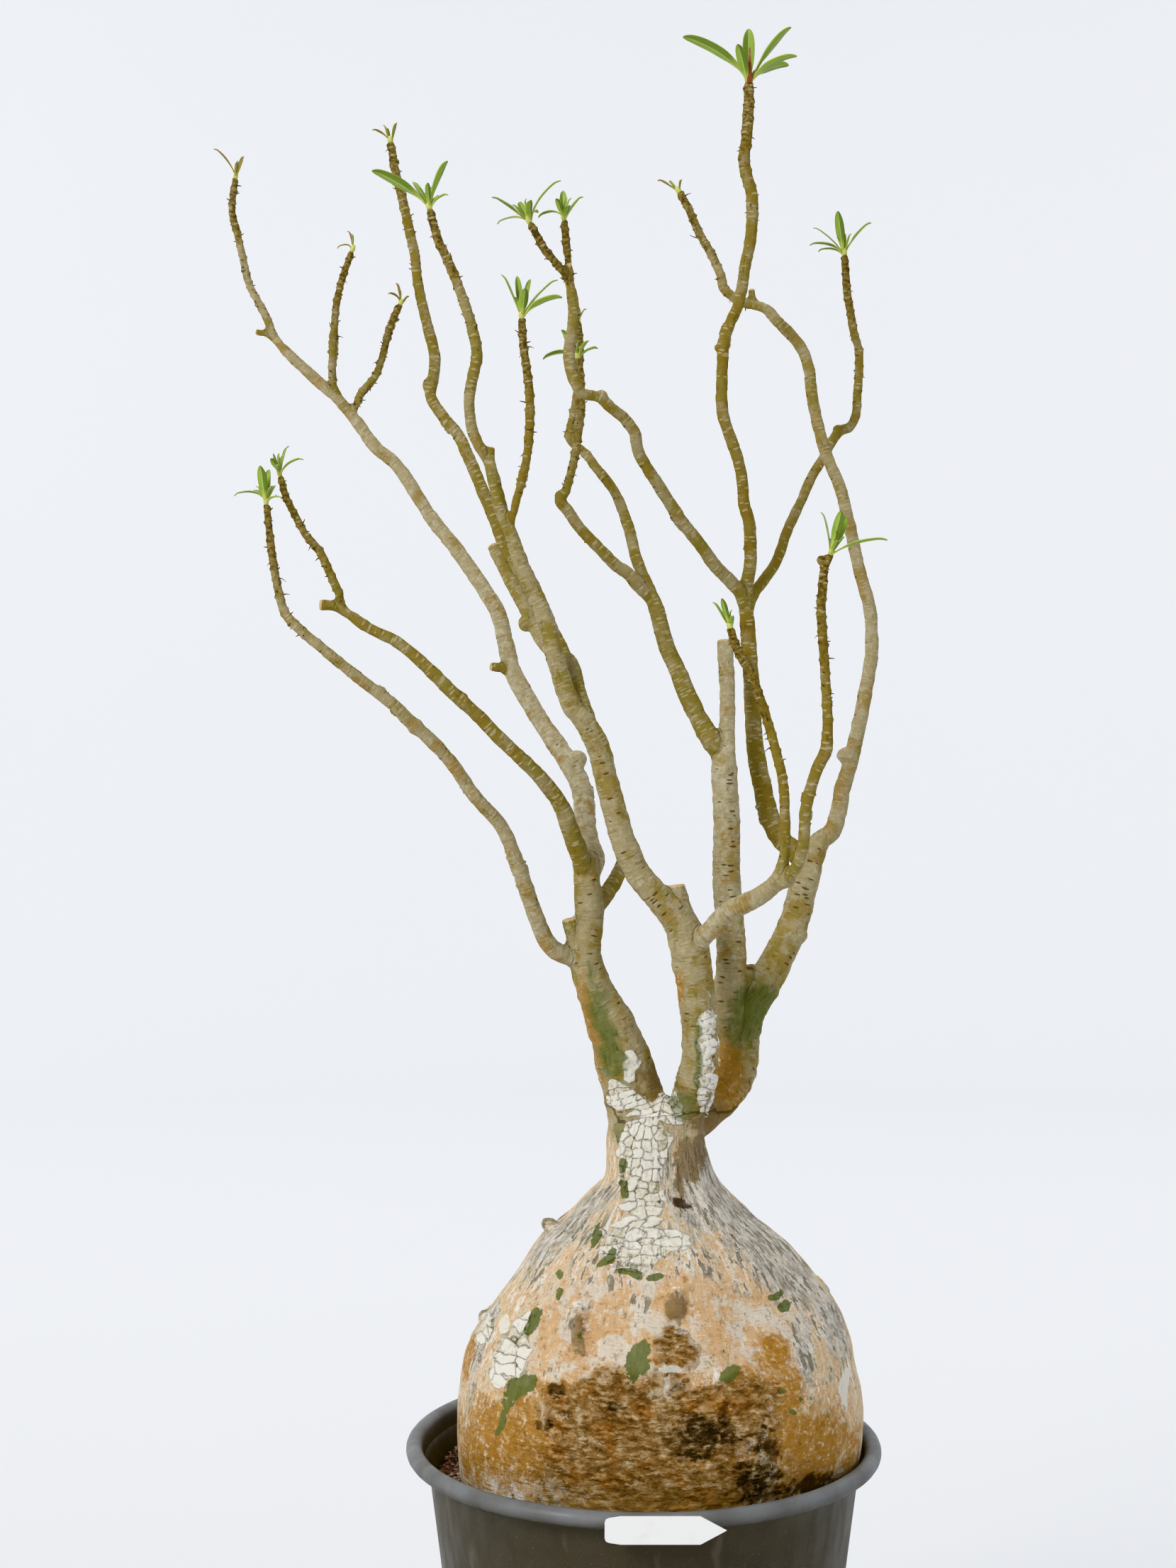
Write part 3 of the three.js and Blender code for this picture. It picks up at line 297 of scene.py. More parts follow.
mix = Finish("potting_mix", 0.92)
grain_cells = mix.add("TexVoronoi", {"Vector": mix.place, "Scale": 420.0})
grain_tone = mix.add("SeparateColor", {0: grain_cells.outputs["Color"]}).outputs[0]
colour = mix.ramp(grain_tone, [
    (0.0, linear(46, 34, 28)), (0.35, linear(92, 66, 54)), (0.6, linear(128, 98, 84)),
    (0.8, linear(160, 136, 118)), (1.0, linear(196, 182, 164)),
])
damp = mix.between(mix.mottle(mix.place, 0.03, 3), 0.4, 0.65)
colour = mix.mixed(damp, mix.mixed(1.0, colour, linear(120, 104, 94), "MULTIPLY"), colour)
mix.to_shader("Base Color", colour)
mix.bumps((grain_cells.outputs["Distance"], 0.001), (mix.mottle(mix.place, 0.0012, 3), 0.0004))
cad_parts["soil"].data.materials.clear()
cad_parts["soil"].data.materials.append(mix.material)

draw = random.Random(11)
grit = bmesh.new()
for stone in range(GRIT_STONES):
    size = draw.uniform(*GRIT_SIZES) * (1.5 if stone % LARGE_STONE_EVERY == 0 else 1.0)
    angle = draw.uniform(0, 2 * math.pi)
    radius = draw.uniform(GRIT_FROM, SOIL_RADIUS - 0.0015)
    across, back = math.cos(angle), math.sin(angle)
    pile = 0.004 * math.sin(angle * 3 + 1) + 0.003 * noise.noise((across * 9, back * 9, 0))
    place = Vector((radius * across, radius * back, SOIL_TOP + 0.002 + pile))
    place.z += 0.002 * noise.noise(place * 90)
    turn = Matrix.Rotation(draw.uniform(0, 6), 4, "X") @ Matrix.Rotation(draw.uniform(0, 6), 4, "Z")
    shape = Matrix.Diagonal((size, size * draw.uniform(0.6, 0.95), size * draw.uniform(0.5, 0.9), 1))
    bmesh.ops.create_icosphere(
        grit, subdivisions=1, radius=1, matrix=Matrix.Translation(place) @ turn @ shape
    )
settled("loose_grit", mesh_from(grit, smooth=False), mix.material, "potting_mix")

# ------------------------------------------------------------------------------------------------
# Plant tag: a thin strip of white plastic with one pointed end, punched from sheet, so its edges
# are barely rounded. It is wedged flat against the front of the rim, and nothing is written on it.
# ------------------------------------------------------------------------------------------------

TAG_LOW, TAG_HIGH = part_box("label")
TAG_POINT = 0.015
TAG_EDGE = 0.0002

half_height = (TAG_HIGH.z - TAG_LOW.z) / 2
middle = (TAG_HIGH.z + TAG_LOW.z) / 2
tag_outline = [
    (TAG_LOW.x + 0.0025, -half_height + 0.001), (TAG_LOW.x + 0.009, -half_height),
    (TAG_HIGH.x - TAG_POINT, -half_height), (TAG_HIGH.x, 0), (TAG_HIGH.x - TAG_POINT, half_height),
    (TAG_LOW.x + 0.009, half_height), (TAG_LOW.x + 0.0025, half_height - 0.001),
    (TAG_LOW.x + 0.0007, half_height - 0.0018), (TAG_LOW.x, half_height - 0.0035),
    (TAG_LOW.x, -half_height + 0.0035), (TAG_LOW.x + 0.0007, -half_height + 0.0018),
]
tag = bmesh.new()
front = tag.faces.new([tag.verts.new((x, TAG_LOW.y, middle + z)) for x, z in tag_outline])
slab = bmesh.ops.extrude_face_region(tag, geom=[front])["geom"]
bmesh.ops.translate(
    tag, verts=[v for v in slab if isinstance(v, bmesh.types.BMVert)],
    vec=(0, TAG_HIGH.y - TAG_LOW.y, 0),
)
bmesh.ops.recalc_face_normals(tag, faces=tag.faces)
bmesh.ops.bevel(
    tag, geom=[e for e in tag.edges if e.calc_face_angle(0) > 1], offset=TAG_EDGE,
    offset_type="OFFSET", segments=2, profile=0.5, affect="EDGES", material=-1,
)

tag_plastic = Finish("tag_plastic", 0.38, Specular_IOR_Level=0.4)
smudge = tag_plastic.mottle(tag_plastic.place, 0.011, 5, 0.6)
colour = tag_plastic.mixed(
    tag_plastic.between(smudge, 0.5, 0.8, 0, 0.6), linear(246, 246, 244), linear(214, 211, 202)
)
tag_plastic.to_shader("Base Color", colour)
tag_plastic.to_shader("Roughness", tag_plastic.between(smudge, 0.3, 0.8, 0.32, 0.5))
tag_plastic.bumps((tag_plastic.mottle(tag_plastic.place, 0.006, 3), 0.00015))
settled("plant_tag", mesh_from(tag, smooth=False), tag_plastic.material, "label_plastic", "label")

# ------------------------------------------------------------------------------------------------
# Swollen base: one fleshy, water-filled body under thin bark, which narrows to a neck and a crown
# of three trunks. Its shoulders are streaked by stretching, its neck is cased in loose white
# plates, and the front of its belly is one old, rough scar. Its lower half is rooted in the mix.
# ------------------------------------------------------------------------------------------------

LIMB_STEP = 0.0015           # spacing of the rings along a limb
SWELLINGS = 0.05, 0.04       # how much its thickness wanders, slowly and quickly
BASE_VOXEL = 0.00226         # the base's skin is made of faces of this size, halved where it is rough
CUT_LEVEL = (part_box("caudex")[1].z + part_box("stem_left")[0].z) / 2
BASE_MIDDLE = 0.01           # the base stands this far to the right of the pot's axis
BASE_DEPTH = -0.003          # and this far in front of it
BASE_FLATTENING = 0.95       # it is this much shallower than it is wide
BASE_SIDES = 120
TRUNKS_TO = 0.53             # the base's skin is grown with the trunks up to this height
ROOT_LEVEL = SOIL_TOP - 0.014    # the base is plainer below this, deep in the potting mix

# Half outline of the base, as [radius, height, middle of the width].
BASE_OUTLINE = [
    [0, 492, 8], [20, 486, 8], [29, 474, 8], [31, 462, 8], [32.5, 450, 10],
    [35.6, 439, 11], [44.8, 429, 9], [60.5, 413, 9], [77, 399.6, 9.5], [87.3, 387, 11],
    [96.8, 375, 12], [106, 363, 13], [112.3, 353, 13.5], [118.6, 341, 12.7], [123, 327, 11.3],
    [126.2, 313, 11], [128, 298, 10.9], [127.8, 283, 10.2], [125.5, 265, 8.9], [120.8, 250, 6.5],
    [111, 222, 5], [88, 178, 4], [50, 135, 3], [18, 112, 3], [0, 108, 3],
]

# The trunks that leave the crown, each carried on as its stem's first limb, as points of
# [across, up, depth, thickness]. Every route of a limb is written like this.
LEFT_TRUNK = [
    [2, 458, -4, 40], [-3, 478, -4, 40], [-6.5, 492, -4, 39], [-12.3, 511, -6, 36],
    [-18, 529, -8, 32], [-25, 545, -9, 27], [-30, 556, -10, 24.5], [-37, 580, -12, 21],
    [-34, 601, -13, 19], [-35, 619, -14, 18], [-37, 638, -14, 17],
]
MIDDLE_TRUNK = [
    [22, 462, -10, 27], [27, 478, -16, 26], [32, 492, -20, 25], [36, 513, -24, 24],
    [36, 533, -26, 24], [34, 553.5, -28, 24.3], [31, 574, -30, 25], [28.7, 587, -31, 26],
    [23, 601, -32, 22], [8, 618, -35, 17.8], [-1, 628, -36, 17.2],
    [-12, 650, -38, 16.2], [-18.6, 673, -39, 15.5], [-24.5, 695, -40, 15.3],
    [-27.6, 709, -41, 15.3], [-38, 729, -43, 14.5], [-45, 737, -44, 13], [-51.5, 754, -45, 12],
    [-57, 772, -46, 11.8], [-59.5, 785, -47, 11.6], [-67, 805, -48, 11], [-77.5, 828, -50, 10],
    [-85, 850, -52, 9.2], [-90, 862, -53, 9], [-95.5, 884, -55, 8.4], [-98, 893, -55, 8.2],
    [-102, 899, -56, 7.8], [-108.6, 913.5, -57, 7.6], [-110.4, 934, -58, 7.2],
    [-108, 947, -58, 7.6], [-105.5, 961, -58, 7.6], [-107.7, 974, -59, 7.3],
    [-113, 992, -60, 6.8], [-123, 1018, -61, 6.3], [-130, 1033, -62, 5.8],
    [-135, 1051, -63, 5.2],
]
RIGHT_TRUNK = [
    [22, 466, 6, 26], [40, 484, 13, 29], [55, 499.5, 19, 28], [59.7, 513, 23, 27],
    [62, 533, 26, 26], [67, 547, 28, 25], [76, 560, 31, 22.5], [89, 584.5, 35, 20],
    [96, 601, 37, 19], [103, 628, 39, 18.5], [107, 640, 40.5, 16.5], [111.5, 651, 42, 13.6],
    [120, 658, 45, 11.6], [124.5, 673, 48, 10.8],
    [127, 687, 50, 10.3], [131.7, 701.5, 52, 10], [135, 716, 54, 9.9], [138, 730, 56, 9.5],
    [143, 757, 58, 9.1], [145, 770, 59, 8.8], [145, 785, 60, 8.6], [144, 799, 60, 8.5],
    [137, 825, 60, 8.2], [131.7, 849, 60, 8], [129, 861, 60, 8], [125, 876.5, 60, 7.9],
    [119, 890.5, 60, 7.9], [114, 904, 61, 7.8], [107, 936, 63, 7.7], [105.6, 949.5, 64, 7.6],
    [101.5, 963, 66, 7.6], [94, 973, 68, 7.5], [86, 981, 70, 7.4], [78, 989.5, 71, 7],
    [71, 992, 72, 6.8], [64, 993.5, 72, 6.4], [55, 999, 73, 6.4], [51, 1003, 73, 6.3],
    [49.5, 1010, 73, 6], [45, 1021, 74, 5.8], [39.5, 1031, 74, 5.6], [35, 1039, 74, 5.5],
    [28, 1055, 74, 5.2], [24, 1062, 74, 5],
]


def seen(across, up, depth):
    """A place of the plane through the pot's axis, moved along the line of sight to its depth."""
    reach = (depth * MM - EYE.y) / -EYE.y
    return EYE + (Vector((across, 0, up)) * MM - EYE) * reach


def smooth_through(knots, step):
    """Points about `step` apart on a smooth curve through the knots, and their places in it."""
    line = [knots[0] * 2 - knots[1], *knots, knots[-1] * 2 - knots[-2]]
    points, places = [], []
    for i in range(len(knots) - 1):
        p0, p1, p2, p3 = line[i:i + 4]
        d0, d1, d2 = (math.sqrt((b - a).length) for a, b in ((p0, p1), (p1, p2), (p2, p3)))
        leave = ((p1 - p0) / d0 - (p2 - p0) / (d0 + d1) + (p2 - p1) / d1) * d1
        arrive = ((p2 - p1) / d1 - (p3 - p1) / (d1 + d2) + (p3 - p2) / d2) * d1
        count = max(2, round((p2 - p1).length / step))
        points += geometry.interpolate_bezier(
            p1, p1 + leave / 3, p2 - arrive / 3, p2, count + 1
        )[:-1]
        places += [i + j / count for j in range(count)]
    return np.array([*points, knots[-1]]), np.array([*places, len(knots) - 1])


def clouds(points, size, seed=0.0):
    """Soft random clouds about `size` across, from -1 to 1, at each point."""
    places = (np.asarray(points) / size + seed).tolist()
    return np.fromiter((noise.noise(place) for place in places), float, len(places))


class Limb:
    """One limb: its middle line, its radius along it, and how its bark has aged."""

    count = 0

    def __init__(self, route, ages=(0.5, 0.5), ends_in="leaves"):
        Limb.count += 1
        self.centres, places = smooth_through([seen(*point[:3]) for point in route], LIMB_STEP)
        reach = (self.centres[:, 1] - EYE.y) / -EYE.y
        thickness = np.interp(places, range(len(route)), [point[3] for point in route])
        steps = np.linalg.norm(np.diff(self.centres, axis=0), axis=1)
        self.lengths = np.concatenate([[0], np.cumsum(steps)])
        line = np.c_[np.full(len(places), Limb.count * 3.7), places * 0, self.lengths]
        slow, quick = SWELLINGS
        swelling = 1 + slow * clouds(line, 0.011) + quick * clouds(line, 0.0045, 5)
        blunt = np.pad(thickness / 2 * MM * reach, 3, mode="edge")
        self.radii = np.convolve(blunt, np.ones(7) / 7, "valid") * swelling
        self.tangents = np.gradient(self.centres, self.lengths, axis=0)
        self.tangents /= np.linalg.norm(self.tangents, axis=1)[:, None]
        self.ages = np.interp(self.lengths / self.lengths[-1], np.linspace(0, 1, len(ages)), ages)
        self.ends_in = ends_in
        self.start = Limb.count * 0.37      # so that no two limbs carry the same marks

    def below(self, height):
        """The stretch of the limb up to a height."""
        low = Limb.__new__(Limb)
        low.__dict__.update(self.__dict__)
        kept = int(np.argmax(self.centres[:, 2] > height))
        for name in ("centres", "radii", "lengths", "tangents", "ages"):
            setattr(low, name, getattr(self, name)[:kept])
        return low


def skin(limbs, knobs, voxel, *bodies):
    """One closed skin round limbs, knobs and bodies, grown together where they meet."""
    tubes = bpy.data.curves.new("tubes", "CURVE")
    tubes.dimensions = "3D"
    tubes.bevel_depth = 1
    tubes.bevel_resolution = 6
    tubes.use_fill_caps = True
    for limb in limbs:
        centres, radii = list(limb.centres), list(limb.radii)
        radius = limb.radii[-1]
        roundness = 0.16 if limb.ends_in == "a cut" else 0.9
        for turn in (0.35, 0.75, 1.1, 1.4):      # rings that round off its end
            bulge = radius * roundness * math.sin(turn)
            centres.append(limb.centres[-1] + limb.tangents[-1] * bulge)
            radii.append(radius * (1 - roundness * (1 - math.cos(turn))))
        spline = tubes.splines.new("POLY")
        spline.points.add(len(centres) - 1)
        spline.points.foreach_set("co", np.c_[centres, np.ones(len(centres))].ravel())
        spline.points.foreach_set("radius", radii)
    carrier = bpy.data.objects.new("tubes", tubes)
    bpy.context.scene.collection.objects.link(carrier)
    depsgraph = bpy.context.evaluated_depsgraph_get()
    bm = bmesh.new()
    bm.from_mesh(bpy.data.meshes.new_from_object(carrier.evaluated_get(depsgraph)))
    bpy.data.objects.remove(carrier)
    for place, size in knobs:
        stretch = Matrix.Diagonal((*[s / 2 * MM for s in size], 1))
        bmesh.ops.create_icosphere(
            bm, subdivisions=4, radius=1, matrix=Matrix.Translation(seen(*place)) @ stretch
        )
    for body in bodies:
        bm.from_mesh(body)
    size = voxel * 1
    return applied(mesh_from(bm), ("REMESH", {"mode": "VOXEL", "voxel_size": size}))


def taken(mesh, what="co"):
    values = np.empty(len(mesh.vertices) * 3)
    mesh.vertices.foreach_get(what, values)
    return values.reshape(-1, 3)


def nearest_limbs(points, limbs):
    """Where each point of a skin lies on the limb that it belongs to."""
    count = len(points)
    found = {name: np.zeros(count) for name in ("along", "turn", "radius", "age", "start", "end")}
    found.update(gap=np.full(count, 1.0), next_gap=np.full(count, 1.0), to_tip=np.full(count, 1.0))
    for limb in limbs:
        margin = limb.radii.max() + 0.012
        inside = (points > limb.centres.min(0) - margin) & (points < limb.centres.max(0) + margin)
        near = np.flatnonzero(inside.all(1))
        ring = np.concatenate([
            ((points[share, None] - limb.centres[None]) ** 2).sum(2).argmin(1)
            for share in np.array_split(near, 1 + len(near) * len(limb.centres) // 3000000)
        ])
        offset = points[near] - limb.centres[ring]
        forward = (offset * limb.tangents[ring]).sum(1)
        across = offset - forward[:, None] * limb.tangents[ring]
        is_past = ((ring == 0) & (forward < 0)) | ((ring == len(limb.radii) - 1) & (forward > 0))
        distance = np.hypot(np.linalg.norm(across, axis=1), np.where(is_past, forward, 0))
        gap = distance - limb.radii[ring]
        is_nearest = gap < found["gap"][near]
        found["next_gap"][near] = np.where(
            is_nearest, found["gap"][near], np.minimum(found["next_gap"][near], gap)
        )
        near, ring, gap = near[is_nearest], ring[is_nearest], gap[is_nearest]
        across, forward = across[is_nearest], forward[is_nearest]
        front = np.array([0, -1, 0]) + limb.tangents[ring] * limb.tangents[ring][:, 1:2]
        front /= np.linalg.norm(front, axis=1)[:, None]
        right = np.cross(limb.tangents[ring], front)
        found["gap"][near] = gap
        found["turn"][near] = np.arctan2((across * right).sum(1), (across * front).sum(1))
        found["along"][near] = limb.lengths[ring] + forward
        found["radius"][near] = limb.radii[ring]
        found["age"][near] = limb.ages[ring]
        found["start"][near] = limb.start
        from_end = limb.lengths[-1] - found["along"][near]
        found["to_tip"][near] = from_end if limb.ends_in == "leaves" else 1.0
        found["end"][near] = (from_end < 0.0008) * (limb.ends_in == "a cut")
    return found


def smoothstep(low, high, values):
    share = np.clip((values - low) / (high - low), 0, 1)
    return share * share * (3 - 2 * share)


def softened(mesh, times):
    """Smooths each point of a skin as many times as is given for it."""
    bm = bmesh.new()
    bm.from_mesh(mesh)
    bm.verts.ensure_lookup_table()
    for number in range(int(times.max())):
        bmesh.ops.smooth_vert(
            bm, verts=[bm.verts[i] for i in np.flatnonzero(times > number)], factor=0.5,
            use_axis_x=True, use_axis_y=True, use_axis_z=True,
        )
    bm.to_mesh(mesh)
    bm.free()


def refined(mesh, rounds):
    """Halves the faces of a skin, as many times over as is given for each point."""
    write_field(mesh, "rounds", rounds)
    bm = bmesh.new()
    bm.from_mesh(mesh)
    depth = bm.verts.layers.float["rounds"]
    for number in range(math.ceil(rounds.max())):
        edges = [e for e in bm.edges if min(v[depth] for v in e.verts) > number + 0.5]
        bmesh.ops.subdivide_edges(bm, edges=edges, cuts=1, use_grid_fill=True)
    bm.verts.layers.float.remove(depth)
    bm.to_mesh(mesh)
    bm.free()


def plated_into(cells):
    """Splits a surface, measured in plate widths, into roughly square plates of bark.
    Gives how far each point is from a crack, and a number from 0 to 1 for its plate."""
    corner_of = np.floor(cells)
    first = np.full(len(cells), 9.0)
    second, tone = first.copy(), first.copy()
    for shift in np.ndindex(3, 3):
        corner = corner_of + np.array(shift) - 1
        spin = np.sin(corner @ np.array([[127.1, 269.5], [311.7, 183.3]])) * 43758.5453
        spin -= np.floor(spin)
        distance = np.abs(cells - corner - 0.15 - 0.7 * spin).max(axis=1)
        tone = np.where(distance < first, spin[:, 0], tone)
        second = np.minimum(second, np.maximum(first, distance))
        first = np.minimum(first, distance)
    return second - first, tone


def in_picture(points):
    """Each point's place on the plane through the pot's axis, in millimetres, as it is seen."""
    share = -EYE.y / (points[:, 1] - EYE.y)
    across = EYE.x + (points[:, 0] - EYE.x) * share
    up = EYE.z + (points[:, 2] - EYE.z) * share
    return across / MM, up / MM


def swayed(points):
    """Where each point lies in the picture, and two sways that make patches irregular there."""
    across, up = in_picture(points)
    places = np.c_[across, up]
    sways = [np.c_[clouds(points, size, 21), clouds(points, size, 33)] for size in (0.008, 0.03)]
    return places, *sways


def patches(view, normals, ovals):
    """1 in the middle of an oval patch on the front, 0 at its edge and below 0 outside it.
    Each oval is [across, up, half width, half height, lean in degrees]."""
    places, ripple, wave = view
    field = np.full(len(places), -1.0)
    for x, z, half_width, half_height, lean in ovals:
        slim = min(half_width, half_height)
        dx, dz = (places - (x, z) + min(slim, 5) * 0.9 * ripple + min(slim, 30) * 0.5 * wave).T
        c, s = math.cos(math.radians(lean)), math.sin(math.radians(lean))
        spread = ((dx * c - dz * s) / half_width) ** 2 + ((dx * s + dz * c) / half_height) ** 2
        field = np.maximum(field, 1 - spread)
    facing = smoothstep(-0.05, 0.2, -normals[:, 1])
    return field * facing - (1 - facing)


def write_field(mesh, name, values):
    is_vector = values.ndim == 2
    layer = mesh.attributes.new(name, "FLOAT_VECTOR" if is_vector else "FLOAT", "POINT")
    layer.data.foreach_set("vector" if is_vector else "value", values.astype(np.float32).ravel())


# Patches seen on the front, some of them painted shade, as [across, up, half width, half height,
# lean].
PATCHES = {
    "plates": [
        [1, 446, 17, 40, 0], [-14, 490, 10, 8, 0], [-8, 510, 5, 12, -10], [14, 481, 12, 9, 0],
        [-1, 398, 25, 18, 0],
        [41, 515, 6.5, 38, 0], [-82, 328, 9, 26, 24], [-102, 340, 5, 12, 10],
    ],
    "green": [
        [-12.4, 446, 4, 4, 0], [-11.2, 430, 4.2, 8, 0], [-29, 403, 3.6, 9, 20],
        [-22, 387, 8, 3.6, -30], [-7, 378, 10, 3.2, 8], [8, 375, 7, 2.6, 0], [28, 483, 12, 8, 0],
        [-16, 468, 3.4, 8, 0],
        [-24, 530, 9, 38, -14], [69, 543, 13, 25, 12], [-4.7, 321, 8, 15, 14],
        [55, 313.6, 5.6, 8, 28], [-52, 376, 3.8, 3.8, 0], [-53, 364, 2.6, 5, 0],
        [83, 364.5, 6, 3.6, -40], [89, 357.7, 5, 3, -50], [-40, 338, 3, 4, 0],
        [-70, 346, 4, 12, 14], [-78, 304, 7, 13, 40], [-88, 286, 3, 12, 20], [35, 514, 2.6, 34, 0],
        [88, 302, 3, 2.4, 0], [96, 290, 4, 2.4, 20], [101, 297, 2.4, 2.4, 0],
    ],
    "ochre": [
        [106, 270, 26, 32, 0], [-84, 268, 34, 30, 0], [82, 324, 14, 14, 0], [-40, 303, 40, 9, 0],
        [66, 302, 20, 14, 0], [56, 499, 12, 28, 0], [-33, 533, 5, 38, -12], [92, 298, 16, 16, 0],
        [20, 545, 4, 30, 8], [-110, 330, 4, 24, 8],
    ],
    "peach": [
        [8, 350, 78, 38, 0], [82, 338, 32, 42, 0], [-30, 335, 54, 32, 0],
    ],
    "ash": [
        [66, 402, 19, 70, -50], [37, 430, 18, 32, 0], [-52, 404, 8, 46, 50], [103, 328, 6, 30, -8],
        [118, 350, 8, 28, -24], [-100, 345, 6, 42, 12],
    ],
    "white": [
        [128, 304, 3.6, 13, 0], [17, 316, 10, 2.4, 0], [-88, 345, 3, 8, 10], [-41, 358, 5, 3, 0],
    ],
    "rough": [
        [8, 252, 82, 60, 0], [-26, 284, 42, 31, 0], [46, 282, 44, 30, 0], [19, 328, 15, 13, 0],
    ],
    # dark: a wound on the neck and dark spots in the scar, and low on the right painted shade where
    # the belly turns under
    "dark_and_shade": [
        [72, 244, 18, 16, 0], [-19, 291, 8, 4, 0], [-55, 305, 9, 5, 0], [36, 272, 30, 13, 0],
        [-65, 282, 7, 4, 0], [80, 262, 10, 20, 0], [26, 423, 8, 3, 15], [110, 243, 18, 9, -20],
    ],
    # brown: the bark's own brown, and on the neck painted shade below the left trunk's foot and down
    # a groove
    "brown_and_shade": [
        [-13, 489, 17, 5, 0], [6, 500, 9, 12, -30], [42, 472, 16, 18, 0], [30, 450, 9, 14, 0],
        [23, 436, 3.4, 14, 0], [-41, 340, 6, 13, 0], [20, 355, 9, 11, 0],
    ],
}
SCAR_PITCH = 0.0021          # along a shoot, from one leaf scar to the next
SCAR_TURN = math.radians(137.5)
SCAR_HALF_WIDTH, SCAR_HALF_HEIGHT = 0.0024, 0.0014
PLATE_ON_BASE = 0.0060, 0.0068      # width and height of a plate of loose bark
PLATE_ON_LIMB = 0.0090, 0.0036
NECK_RADIUS = 0.034
BELLY_RADIUS = 0.06          # round which the base's streaks are spaced
SHOULDER_HEIGHT, SHOULDER_REACH = 0.4, 0.06
BASE_ENDS = 0.495, 0.464     # the base's bark gives way to the trunks' between these heights
CROWN_HEIGHTS = 0.46, 0.485
FORK_SMOOTHING = 16          # times over
LEAF_SCAR_RISE = 0.0007
SLIT_DEPTH = 0.0007
SCAR_DEPTH = 0.0009
DARK_PATCH_DEPTH = 0.0011
PLATE_RISE, PLATE_UNEVENNESS = 0.0010, 0.0005
BEHIND = {                   # how rare each kind of patch is where the base and the limbs face back
    "plates": 0.42, "green": 0.46, "ochre": 0.25, "peach": -0.1, "ash": 0.05, "white": 0.6,
    "brown_and_shade": 0.5,
}
RARER_ON_LIMBS = 0.15


# Relief of the bark in layers, as [depth, how much finer it is lengthwise, size, seed].
LIMB_RELIEF = [(0.00034, 8, 0.022, 0), (0.00045, 1.6, 0.009, 4), (0.00014, 3, 0.0035, 7)]
BASE_RELIEF = [(0.0009, 1, 0.035, 2), (0.0004, 1, 0.012, 5)]
STREAK_RELIEF = [(0.00022, 0.4, 0.004, 1)]
SCAR_RELIEF = [(0.0013, 2.4, 0.014, 6), (0.0009, 2, 0.0055, 8), (0.0006, 2, 0.0026, 9)]


def layered(places, layers):
    return sum(
        depth * clouds(places * (1, 1, finer), size, seed) for depth, finer, size, seed in layers
    )


def leaf_scars(spots):
    """1 in the middle of each leaf scar, which climb a shoot in a spiral, and 0 between them."""
    field = np.zeros(len(spots["along"]))
    lowest = np.floor(spots["along"] / SCAR_PITCH)
    for step in range(-1, 3):
        number = lowest + step
        turn = np.angle(np.exp(1j * (spots["turn"] - number * SCAR_TURN)))
        above = (spots["along"] - number * SCAR_PITCH) / SCAR_HALF_HEIGHT
        aside = turn * spots["radius"] / SCAR_HALF_WIDTH
        field = np.maximum(field, 1 - aside ** 2 - above ** 2)
    return field


def evened(mesh, limbs, is_base):
    """Smooths a skin where limbs meet, and halves the faces where the bark of the base is rough."""
    points = taken(mesh)
    spots = nearest_limbs(points, limbs)
    gap, next_gap = spots["gap"], spots["next_gap"]
    in_fork = smoothstep(0.006, 0.0025, next_gap) * smoothstep(0.008, 0.004, np.abs(gap))
    times = 1 + FORK_SMOOTHING * in_fork
    if is_base:
        in_crown = smoothstep(0.0, 0.002, gap) * smoothstep(0.018, 0.01, gap)
        times += FORK_SMOOTHING * in_crown * smoothstep(*CROWN_HEIGHTS, points[:, 2])
    softened(mesh, times)
    mesh.update()
    if is_base:
        view, normals = swayed(taken(mesh)), taken(mesh, "normal")
        once, twice = (
            smoothstep(low, low + 0.05, patches(view, normals, PATCHES[name]))
            for name, low in (("rough", 0.0), ("plates", -0.2))
        )
        refined(mesh, np.maximum(once, 2 * twice))
        mesh.update()


def patch_fields(points, normals, share):
    """How far each point lies inside each kind of patch: placed as listed in front, wild behind."""
    view = swayed(points)
    fields = {name: patches(view, normals, ovals) for name, ovals in PATCHES.items()}
    behind = smoothstep(0.1, -0.3, -normals[:, 1])
    for number, (name, rarity) in enumerate(BEHIND.items()):
        wild = clouds(points, 0.032, 3 + number) + 0.4 * clouds(points, 0.01, number)
        wild = 5 * (wild - rarity - RARER_ON_LIMBS * (1 - share))
        fields[name] = np.maximum(fields[name], behind * wild - (1 - behind))
    fields["rough"] = fields["rough"] * share - (1 - share)      # only the base has the scar
    return fields


def base_relief(points, slope, fields):
    """The relief of the base's own bark, and how much of it is shoulder and how much scar."""
    near_shoulder = 0.3 - np.abs(points[:, 2] - SHOULDER_HEIGHT) / SHOULDER_REACH
    shoulder = smoothstep(
        -0.3, 0.5, np.maximum(fields["ash"], near_shoulder) + 0.6 * clouds(points, 0.02)
    )
    scar = smoothstep(-0.05, 0.35, fields["rough"] + 0.5 * clouds(points, 0.014))
    slits = smoothstep(0.1, 0.45, clouds(slope * (1, 1, 0.24), 0.0042))
    relief = layered(points, BASE_RELIEF) + layered(slope, STREAK_RELIEF)
    relief += scar * (layered(points, SCAR_RELIEF) - SCAR_DEPTH) - SLIT_DEPTH * shoulder * slits
    return relief, shoulder, scar


